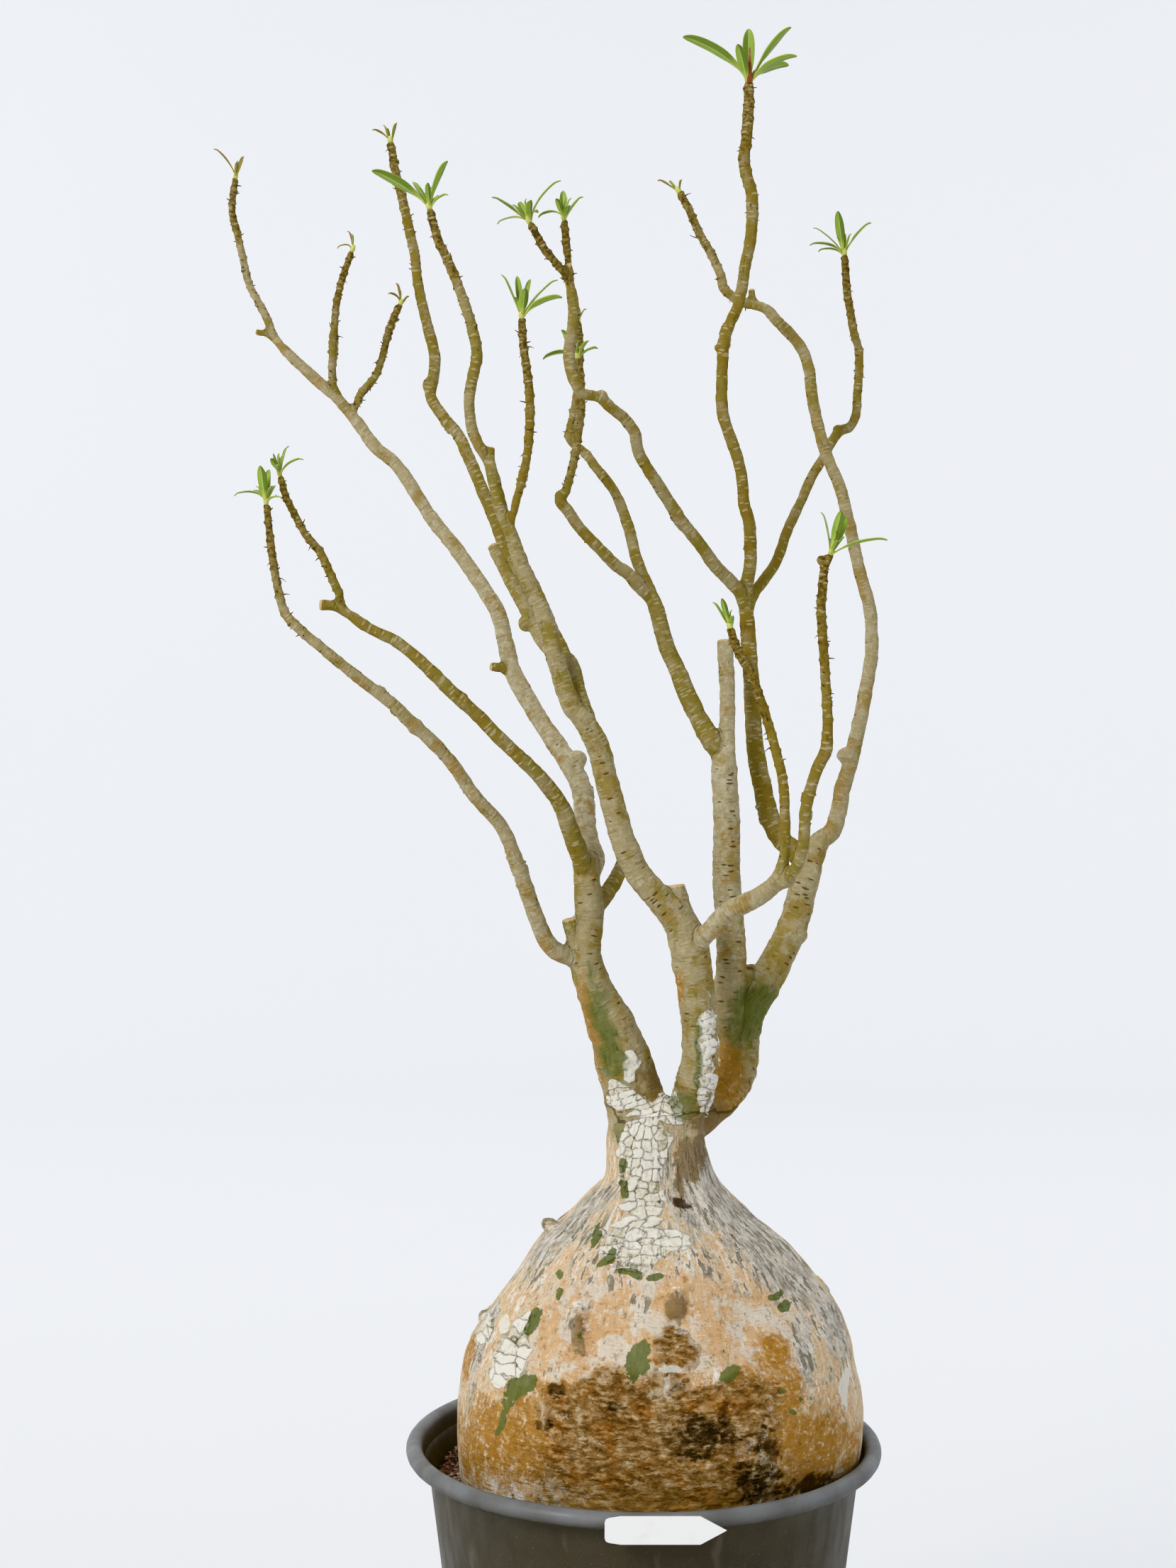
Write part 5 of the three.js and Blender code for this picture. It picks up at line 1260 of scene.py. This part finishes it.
MIDDLE_LIMBS = {
    "sawn_top": [
        [26, 588, -31, 23], [23, 606, -31, 18], [20, 623, -30, 13.5],
    ],
    "cut_limb": [
        [-36, 727, -42, 11], [-41.5, 749, -34, 9.4], [-46, 765, -26, 9], [-62, 776, -14, 9],
        [-73, 796.5, -4, 9], [-81.6, 812, 2, 8.5], [-91, 830, 8, 8], [-95.5, 839, 11, 7.8],
    ],
    "upper_twig": [
        [-85, 850, -52, 6], [-82, 862, -58, 5.4], [-75, 889, -70, 5.6], [-73.5, 898, -74, 5.8],
        [-72, 916, -80, 6.3], [-72, 934, -85, 6], [-74, 952, -89, 5.6], [-76, 966, -92, 5.3],
        [-77, 982, -95, 5],
    ],
    "low_inner": [
        [30, 583, -32, 15], [37, 590, -38, 13.5], [43.5, 596, -43, 13], [51.6, 605, -48, 13],
        [60, 610, -52, 13], [69, 614, -56, 12.6], [80, 621, -60, 11.8], [86.7, 629, -62, 11],
        [88.5, 636, -62, 8.5], [90, 643, -61, 6.9], [90, 670, -58, 6.8], [88.5, 691, -56, 6.6],
        [84, 710, -54, 6.4], [77, 734, -52, 6.3], [68, 759, -52, 6], [63, 767, -52, 6],
        [58, 777.5, -52, 5.8], [56, 785, -52, 5.5],
    ],
    "low_outer": [
        [84, 623, -61, 9], [91, 628, -64, 8.4], [97.5, 636, -68, 8], [101.5, 648, -72, 8],
        [103, 670, -77, 7.7], [107, 687, -80, 7.7], [111.5, 700, -82, 7.8], [116, 709, -83, 8.5],
        [117, 720, -84, 7.2], [117, 733, -85, 6.8], [115, 767, -87, 6.3], [113, 802, -89, 6.3],
        [114, 813, -90, 6], [115, 825, -90, 5.6], [118, 832, -90, 5],
    ],
    "gnarl": [
        [-98, 891, -55, 7.6], [-97, 897, -55, 7], [-96, 902, -55, 5],
    ],
}
MIDDLE_KNOBS = [
    [[-74.4, 790, -7], [10, 10, 11]],
    [[-30.5, 716, -41], [14, 14, 14]],
    [[90, 628, -62], [14, 13, 13]],
    [[113.2, 830, -87], [6, 6, 6]],
]
MIDDLE_BARK = {
    "sawn_top": [(0.8, 0.8), "a cut"],
    "cut_limb": [(0.65, 0.6), "a cut"],
    "upper_twig": [(0.4, 0.4)],
    "low_inner": [(0.86, 0.8, 0.4, 0.35, 0.35)],
    "low_outer": [(0.7, 0.35, 0.3)],
    "gnarl": [(0.4, 0.4), "a cut"],
}
middle_limbs = stem(
    "middle_stem", "stem_middle", middle_trunk, MIDDLE_LIMBS, MIDDLE_BARK, MIDDLE_KNOBS,
    STEM_VOXEL * 0.85,
)

# ------------------------------------------------------------------------------------------------
# Right stem: leans back and right. It carries a pale upright limb, cut and healed at its top, and
# the tallest shoots of the plant.
# ------------------------------------------------------------------------------------------------

RIGHT_LIMBS = {
    "pale": [
        [60, 522, 25, 22], [55, 540, 22, 21], [54, 553.5, 22, 20], [56, 574, 21, 19.4],
        [55, 601, 21, 18.6], [53, 628, 21, 18], [53, 668, 22, 17.6], [51.6, 691, 23, 17],
        [51.6, 706, 24, 16], [53, 723, 27, 10.6], [53.4, 745, 31, 10], [51.8, 779, 36, 10.4],
    ],
    "fork_back": [
        [51, 704, 24, 14], [44, 715, 24, 13.6], [36, 728.5, 25, 12.6], [28, 745, 26, 12],
        [21, 762, 27, 11], [14, 778, 28, 10.5], [7.5, 802, 29, 10.4], [-1, 822, 34, 8],
        [-4.7, 832.5, 38, 7.6], [-9, 850, 44, 7.4], [-15.5, 868, 50, 7], [-19, 875, 53, 6.8],
        [-30, 889, 58, 6.4], [-37, 898, 61, 6.3], [-43, 903, 63, 6.3], [-47, 908.5, 64, 6],
        [-45.6, 916, 66, 5.7], [-43, 929, 68, 5.4], [-41, 947, 70, 5.2], [-40, 965, 71, 5],
        [-41, 980, 72, 4.6],
    ],
    "fork_front": [
        [5, 806, 29, 9.6], [-1, 812, 28, 9.4], [-10, 822, 26, 8.5], [-17, 826.6, 25, 8],
        [-23.5, 833, 24, 7.7], [-37, 847, 22, 7.6], [-43, 854, 21, 7.6], [-48, 862, 20, 7.6],
        [-53, 868, 20, 7.2], [-49.6, 873, 20, 6], [-45.6, 886.5, 20, 5.6], [-43, 898, 20, 5.8],
        [-42, 907, 21, 6.2], [-40, 925, 22, 6.6], [-40, 934, 24, 6.2], [-40, 947, 28, 5.8],
        [-41.5, 956, 30, 5.3],
    ],
    "mast": [
        [104.7, 637, 42, 15], [95, 646, 46, 13.6], [86.7, 654, 50, 13], [80, 668, 53, 12.8],
        [75.5, 687, 56, 12.3], [72, 705.5, 58, 11.6], [70, 727, 59, 11], [69, 749, 59, 10.6],
        [68, 763, 58, 10.3], [66.5, 785, 57, 10], [65.5, 799, 56, 10], [65.5, 812, 54, 9.2],
        [68, 827.5, 50, 8.4], [68, 842, 47, 8.2], [67, 856, 44, 8], [64, 866, 42, 7.9],
        [63, 880.6, 39, 7.7], [60, 894.6, 36, 7.7], [51.6, 919, 32, 7.7], [50, 929, 31, 7.9],
        [50, 943, 30, 7.7], [51.6, 969, 28, 7.6], [55, 980, 27, 7.5], [60, 991, 26, 7.5],
        [63, 1005, 25, 7.5], [65, 1018, 24, 7.8], [68, 1032, 23, 7.8], [69, 1046, 22, 7.9],
        [69, 1062, 21, 7.7], [66, 1073, 20, 7.5], [64, 1085, 19, 7.6], [65.5, 1096, 18, 7.5],
        [67, 1119, 16, 7.2], [67, 1131, 15, 6.6],
    ],
    "crossing": [
        [65, 800, 55, 9], [60.6, 811, 50, 9], [54, 818, 46, 8.8], [45, 827.5, 40, 8.6],
        [37, 839, 34, 8.5], [28, 850, 28, 8.4], [19.6, 862, 22, 8.3], [11, 875.6, 16, 8.1],
        [3, 888, 11, 8], [-3, 899, 7, 8], [-5.5, 911, 3, 7.8], [-12, 920, 0, 7.6],
        [-20, 926.5, -3, 7.5], [-27, 933, -6, 7.5], [-32.6, 934.6, -8, 6.8],
        [-39, 936, -10, 7.2], [-43, 943, -11, 7.8], [-46, 952, -12, 8], [-47, 961, -13, 8],
        [-46, 970, -14, 7.8], [-44, 988, -16, 7.4], [-46.5, 1006, -18, 7.2],
        [-47.2, 1017, -19, 6.6],
    ],
    "crossing_left": [
        [-47.5, 1007, -18, 6], [-50.5, 1013, -22, 5.6], [-54.6, 1018, -26, 5.6],
        [-63, 1028, -32, 5.4], [-66, 1033.6, -34, 5.2], [-71, 1042.6, -37, 5],
    ],
    "crossing_up": [
        [-47, 1010, -19, 6], [-48, 1024, -20, 5.6], [-49, 1033, -21, 5.2], [-50, 1044, -21, 4.8],
    ],
    "outward": [
        [66, 798, 56, 8], [70.5, 809, 62, 7.6], [77, 818, 68, 7.3], [84.5, 829, 74, 7],
        [92, 850, 81, 6.8], [100, 867, 86, 6.6], [107, 883, 90, 6.5], [114, 894.5, 93, 6.4],
        [119, 904, 95, 6.4], [125, 912, 97, 6.8], [131, 914.5, 98, 6.4], [135, 922, 98, 5.9],
        [136, 936, 98, 5.9], [137, 949.5, 98, 5.7], [137, 963, 97, 5.7], [134, 974, 97, 5.4],
        [131.7, 987, 96, 5.4], [129.5, 1000, 95, 5.4], [128, 1022, 93, 4.8],
    ],
    "far_stub": [
        [71, 992, 72, 5.6], [69.5, 997, 72, 5.6], [68.5, 1002, 72, 4.4],
    ],
}
RIGHT_KNOBS = [
    [[68, 565, 27], [20, 18, 18]],
    [[94, 592, 33], [21, 18, 16]],
    [[129, 706, 51], [13, 12, 11]],
    [[-26.5, 934.5, -6], [8, 8, 8]],
    [[-53, 870.5, 20], [7, 7, 8]],
    [[47, 965, 28], [4, 5, 5]],
    [[124, 913, 97], [8, 7, 7]],
]
RIGHT_BARK = {
    "pale": [(0.75, 0.8, 0.85, 0.8), "a cut"],
    "fork_back": [(0.6, 0.55, 0.5)],
    "fork_front": [(0.55, 0.55)],
    "mast": [(0.45, 0.4, 0.45, 0.45)],
    "crossing": [(0.6, 0.6, 0.55), "a cut"],
    "crossing_left": [(0.5, 0.4)],
    "crossing_up": [(0.5, 0.4)],
    "outward": [(0.5, 0.5)],
    "far_stub": [(0.5, 0.4), "a cut"],
}
right_limbs = stem(
    "right_stem", "stem_right", right_trunk, RIGHT_LIMBS, RIGHT_BARK, RIGHT_KNOBS, STEM_VOXEL
)

# ------------------------------------------------------------------------------------------------
# Leaf tufts: a few small strap leaves at the end of every shoot, grown round a green bud. Each
# leaf is thick and smooth, folded along its midrib, with a rounded tip that ends in a dark point.
# ------------------------------------------------------------------------------------------------

BUD_HALF_HEIGHT = 0.0032
BUD_GAP = 0.0003
LEAF_THICKNESS = 0.0007
LEAF_ROWS = 16
LEAF_COLUMNS = 6
LEAF_ROWS_LEAN = 1.6         # the rows are closer together towards the tip
FOLD = 0.5                   # how far its edges rise, in half widths
ROLL = math.radians(42)      # how far a broad leaf that reaches sideways turns to the front
SLENDER = 0.0035             # a leaf up to this width keeps its edge to the front
WIDEST_AT, ROUNDED_FROM, CURLED_FROM = 0.62, 0.68, 0.86      # in leaf lengths
SMALL_LEAVES = 3             # unfolding at the heart of each tuft

WITHERED = ("tuft_03", "tuft_04", "tuft_05", "tuft_06", "tuft_12", "tuft_14")
WITHERED_BLUSH = 0.5         # how brown their few leaves are

# Each tuft: the shoot it ends, and the tips of its leaves as
# [across, up, depth behind the shoot, width].
TUFTS = {
    "tuft_01": (left_limbs["lowest"], [
        [-260, 872, -6, 3.2], [-247, 875, 8, 3.4], [-243, 890, -4, 5.4], [-238, 888, 7, 4.6],
        [-229, 870, -5, 3.2], [-234, 878, 15, 4],
    ]),
    "tuft_02": (left_limbs["olive_twig"], [
        [-236, 895, -5, 4.2], [-226, 903, 4, 4.6], [-229, 896, 11, 3.6], [-216, 895, -4, 4],
        [-232, 891, -12, 3.4],
    ]),
    "tuft_03": (left_limbs["grey"], [
        [-272, 1092, -4, 3.6], [-254, 1087, 3, 3.2], [-258, 1083, -6, 2.6],
    ]),
    "tuft_04": (left_limbs["grey_inner_twig"], [
        [-187, 1039.5, 0, 2.2], [-194.5, 1029, -3, 2.6],
    ]),
    "tuft_05": (left_limbs["grey_outer_twig"], [
        [-156, 1006, 2, 3], [-162, 1000, -4, 2.6], [-149.5, 998, 3, 2.8],
    ]),
    "tuft_06": (left_limbs["hidden"], [
        [-171.6, 1104, -2, 3.2], [-163, 1105, 6, 3.2], [-157, 1108, -4, 3.2],
    ]),
    "tuft_07": (middle_trunk, [
        [-172, 1078, -8, 6.6], [-125, 1084, -5, 5.2], [-146, 1071, 8, 4.2], [-137, 1070, -9, 4],
        [-130, 1062, 7, 3.4], [-124, 1063, -4, 3.2], [-134, 1068, 15, 4.4],
    ]),
    "tuft_08": (middle_limbs["upper_twig"], [
        [-89, 1012, -4, 4.4], [-80, 1011, 8, 4.2], [-75, 1003, -10, 5.6], [-72, 1009, 5, 4],
        [-55, 1009, 3, 4.4], [-51.5, 998, -7, 5.6],
    ]),
    "tuft_09": (right_limbs["crossing_left"], [
        [-95.5, 1061.5, -5, 5.2], [-93, 1044.5, 5, 3.6], [-79, 1058, 7, 4.2],
        [-72, 1059, -9, 5.6], [-67, 1052, 8, 4.2], [-53, 1072, -3, 4.4],
    ]),
    "tuft_10": (right_limbs["crossing_up"], [
        [-67, 1048.5, 4, 3.6], [-55, 1060, -6, 4.2], [-51, 1065, 6, 4.8], [-39, 1061.5, 2, 4.2],
        [-47, 1056, -10, 4],
    ]),
    "tuft_11": (right_limbs["fork_front"], [
        [-51, 976.5, 3, 5.2], [-64, 958.5, 4, 4.4], [-35, 970, -4, 3.2], [-29, 965.5, 5, 3.8],
    ]),
    "tuft_12": (right_limbs["fork_back"], [
        [-44.5, 992, 5, 3.2], [-37, 990, 3, 3.2], [-41, 991, -5, 3],
    ]),
    "tuft_13": (right_limbs["mast"], [
        [25.5, 1163, -7, 7.4], [67, 1168, 12, 7.8], [93, 1169, 4, 6.6], [97.5, 1151, -9, 5.4],
        [92, 1145, 8, 6.8], [60, 1158, -14, 6.4],
    ]),
    "tuft_14": (right_trunk, [
        [9.7, 1072, 3, 4.4], [24, 1072, -4, 2.6],
    ]),
    "tuft_15": (right_limbs["outward"], [
        [123.5, 1051.6, -5, 6], [144, 1045, 4, 5], [108.5, 1042, 6, 2.8], [105.6, 1031, -4, 4.2],
        [111, 1027, 7, 3.6],
    ]),
    "tuft_16": (middle_limbs["low_inner"], [
        [50, 806, -5, 4], [45, 804, 5, 3.2], [56.5, 795, -3, 4],
    ]),
    "tuft_17": (middle_limbs["low_outer"], [
        [126, 861.5, -5, 6], [129, 858, 5, 5.4], [114, 861, 4, 3.6], [155, 844, -2, 4.4],
        [124, 843, -11, 3.4],
    ]),
}


def strap_leaf(bm, joint, bud_radius, shoot, tip, width, sway):
    """One leaf from the bud to its tip: a flat strip, folded along its midrib and curved outwards."""
    reach = tip - joint
    start = joint + (reach - shoot * reach.dot(shoot)).normalized() * bud_radius * 0.75
    span = tip - start
    outward = span - shoot * span.dot(shoot)
    is_upright = outward.length < span.length * 0.12
    side = Vector((1, 0, 0)) if is_upright else shoot.cross(outward).normalized()
    edge_on = 0 if is_upright else abs(side.y)
    rise = start + shoot * span.length * 0.36 + outward * 0.28
    roll = ROLL * edge_on * min(1, max(0.15, (width - SLENDER) / 0.0028))
    width *= 0.85 + 0.15 * min(1, max(0, (width - SLENDER) / 0.0015))
    strip = bmesh.ops.create_grid(
        bm, x_segments=LEAF_COLUMNS, y_segments=LEAF_ROWS, size=0.5, calc_uvs=True
    )
    for corner in strip["verts"]:
        a, row = corner.co.x * 2, corner.co.y + 0.5
        t = 1 - (1 - row) ** LEAF_ROWS_LEAN
        middle = start.lerp(rise, t).lerp(rise.lerp(tip, t), t)
        tangent = (rise.lerp(tip, t) - start.lerp(rise, t)).normalized()
        towards = Matrix.Rotation(roll * math.copysign(min(1, t * 2), -outward.x), 3, tangent)
        breadth = towards @ side
        face = breadth.cross(tangent).normalized()
        swelling = 0.3 + 0.7 * math.sin(min(1, t / WIDEST_AT) * math.pi / 2) ** 1.4
        past = max(0, (t - ROUNDED_FROM) / (1 - ROUNDED_FROM))
        rounding = math.sqrt(max(0.0, 1 - past ** 2))
        half = width / 2 * swelling * max(rounding, 0.1)
        fold = FOLD * half * (abs(a) ** 1.3 - 0.35) * (1 - 0.5 * t)
        wave = 0.06 * half * math.sin(t * 9 + sway * 5) * a
        curl = 0.0012 * max(0, (t - CURLED_FROM) / (1 - CURLED_FROM)) ** 2
        corner.co = middle + breadth * a * half - face * (fold + wave - curl)


leaf = Finish("leaf", 0.4, Specular_IOR_Level=0.5)
uv = leaf.add("TexCoord").outputs["UV"]
breadthwise, lengthwise = leaf.add("SeparateXYZ", {0: uv}).outputs[:2]
from_midrib = leaf.math("ABSOLUTE", leaf.math("SUBTRACT", breadthwise, 0.5))
variety = leaf.mottle(leaf.place, 0.012, 3)
veins = leaf.mottle(leaf.stretched(uv, 9, 60, 1), 1.0, 2)
colour = leaf.mixed(variety, linear(118, 148, 44), linear(154, 178, 74))
blush = leaf.both(
    leaf.painted("blush").outputs["Fac"], leaf.between(variety, 0.3, 0.5, 0.5, 1.0)
)
for share, coat in (
    (leaf.between(veins, 0.5, 0.7, 0, 0.25), linear(176, 194, 104)),
    # painted shade: one half of the folded leaf is darker, as its shaded side
    (leaf.between(breadthwise, 0.48, 0.53, 0, 0.7), linear(90, 110, 40)),       # darker half
    (leaf.between(lengthwise, 0.3, 0.0), linear(190, 196, 92)),                 # foot
    (leaf.between(from_midrib, 0.055, 0.02, 0, 0.55), linear(196, 214, 140)),   # midrib
    (leaf.between(from_midrib, 0.455, 0.49, 0, 0.5), linear(200, 200, 126)),    # edges
    (leaf.between(lengthwise, 0.94, 0.975), linear(110, 76, 44)),               # tip
    (blush, linear(146, 76, 42)),
):
    colour = leaf.mixed(share, colour, coat)
leaf.to_shader("Base Color", colour)
leaf.to_shader("Roughness", leaf.between(veins, 0.3, 0.8, 0.34, 0.5))
leaf.bumps((leaf.mottle(leaf.place, 0.0012, 2), 0.0002), (veins, 0.0001))

for name, (shoot_limb, tips) in TUFTS.items():
    bm = bmesh.new()
    bm.loops.layers.uv.new("leaf")
    blushing = bm.verts.layers.float.new("blush")
    shoot = Vector(shoot_limb.tangents[-1])
    end = Vector(shoot_limb.centres[-1])
    bud_radius = shoot_limb.radii[-1] * 0.8
    bud = end + shoot * (BUD_GAP + BUD_HALF_HEIGHT)
    depth = end.y / MM
    draw = random.Random(name)
    for number, (across_tip, up_tip, behind, width) in enumerate(tips):
        joint = bud + shoot * BUD_HALF_HEIGHT * 0.55 * (1 - 2 * number / len(tips))
        tip = seen(across_tip, up_tip, depth + behind)
        strap_leaf(bm, joint, bud_radius, shoot, tip, width * MM, draw.random())
    for corner in bm.verts:
        corner[blushing] = WITHERED_BLUSH if name in WITHERED else 0
    for number in range(1 if name in WITHERED else SMALL_LEAVES):
        around = Matrix.Rotation(draw.uniform(0, 2) + number * 2.1, 3, shoot)
        lean = around @ shoot.orthogonal().normalized() * draw.uniform(0.0025, 0.005)
        tip = bud + lean + shoot * draw.uniform(0.007, 0.014)
        strap_leaf(bm, bud, bud_radius * 0.4, shoot, tip, draw.uniform(0.0015, 0.0024), draw.random())
    if name == "tuft_13":            # the only shoot with a flower bud, long, pointed and reddish
        lowered = bud + Vector((0.0005, -bud_radius, 0.009))
        flower_bud = bmesh.ops.create_cone(
            bm, cap_ends=True, segments=10, radius1=0.0016, radius2=0.0003, depth=0.022,
            matrix=Matrix.Translation(lowered),
        )
        for corner in flower_bud["verts"]:
            corner[blushing] = 1
    blades = applied(
        mesh_from(bm), ("SOLIDIFY", {"thickness": LEAF_THICKNESS, "offset": 0}),
    )
    bm = bmesh.new()
    bm.from_mesh(blades)
    upright = shoot.to_track_quat("Z", "Y").to_matrix().to_4x4()
    bmesh.ops.create_icosphere(
        bm, subdivisions=2, radius=1,
        matrix=Matrix.Translation(bud) @ upright
        @ Matrix.Diagonal((bud_radius, bud_radius, BUD_HALF_HEIGHT, 1)),
    )
    settled(name + "_leaves", mesh_from(bm), leaf.material, "leaf_green", name)

# ------------------------------------------------------------------------------------------------
# Floor and light: a plain pale floor that curves up into a far wall, and soft studio lights. Each
# light is a round lamp: [name, place, what it points at, width, power, tint].
# ------------------------------------------------------------------------------------------------

FLOOR_LEVEL = -0.0005        # a hair below the pot's foot
FLOOR_RADIUS = 3.4
FLOOR_BEND = 0.8             # radius of the curve from the floor up to the wall
WALL_RISE = 2.6

bowl = turned([
    (0, FLOOR_LEVEL), (FLOOR_RADIUS, FLOOR_LEVEL),
    *[
        (FLOOR_RADIUS + FLOOR_BEND * math.sin(turn), FLOOR_BEND * (1 - math.cos(turn)))
        for turn in np.linspace(0.15, math.pi / 2, 8)
    ],
    (FLOOR_RADIUS + FLOOR_BEND, WALL_RISE + FLOOR_BEND),
], 96)
turned_out = [
    f for f in bowl.faces
    if f.normal.z < -0.1 or f.calc_center_median().xy.dot(f.normal.xy) > 0
]
bmesh.ops.reverse_faces(bowl, faces=turned_out)
floor = bpy.data.objects.new("floor", mesh_from(bowl))
bpy.context.scene.collection.objects.link(floor)
paper = Finish("paper", 0.9, Specular_IOR_Level=0.1)
grain_paper = paper.mottle(paper.place, 0.4, 3)
paper.to_shader(
    "Base Color", paper.mixed(grain_paper, (0.80, 0.81, 0.825, 1), (0.83, 0.84, 0.855, 1))
)
floor.data.materials.append(paper.material)

world = bpy.data.worlds.new("sky")
world.use_nodes = True
sky = world.node_tree.nodes["Background"]
sky.inputs["Color"].default_value = (0.92, 0.95, 1.0, 1)
sky.inputs["Strength"].default_value = 0.35
bpy.context.scene.world = world

bpy.context.scene.view_settings.view_transform = "Khronos PBR Neutral"

for name, place, aim, size, power, tint in (
    ("key", (-1.7, -2.0, 2.2), (0, 0, 0.6), 1.1, 60, (1.0, 0.98, 0.95)),
    ("fill", (2.2, -1.2, 1.2), (0, 0, 0.6), 1.6, 8, (0.95, 0.97, 1.0)),
    ("top", (0.3, 0.6, 2.9), (0, 0, 0.7), 1.6, 22, (1.0, 1.0, 1.0)),
    ("wall_left", (-1.8, 1.2, 2.6), (-1.0, 4.0, 1.2), 1.2, 60, (0.97, 0.98, 1.0)),
    ("wall_right", (1.8, 1.2, 2.4), (1.2, 4.0, 1.0), 1.2, 40, (0.98, 0.98, 1.0)),
):
    lamp = bpy.data.lights.new(name, "AREA")
    lamp.shape = "DISK"
    lamp.size = size
    lamp.energy = power
    lamp.color = tint
    lamp_object = bpy.data.objects.new(name, lamp)
    lamp_object.location = place
    lamp_object.rotation_euler = (Vector(aim) - Vector(place)).to_track_quat("-Z", "Y").to_euler()
    lamp_object.visible_camera = False
    bpy.context.scene.collection.objects.link(lamp_object)
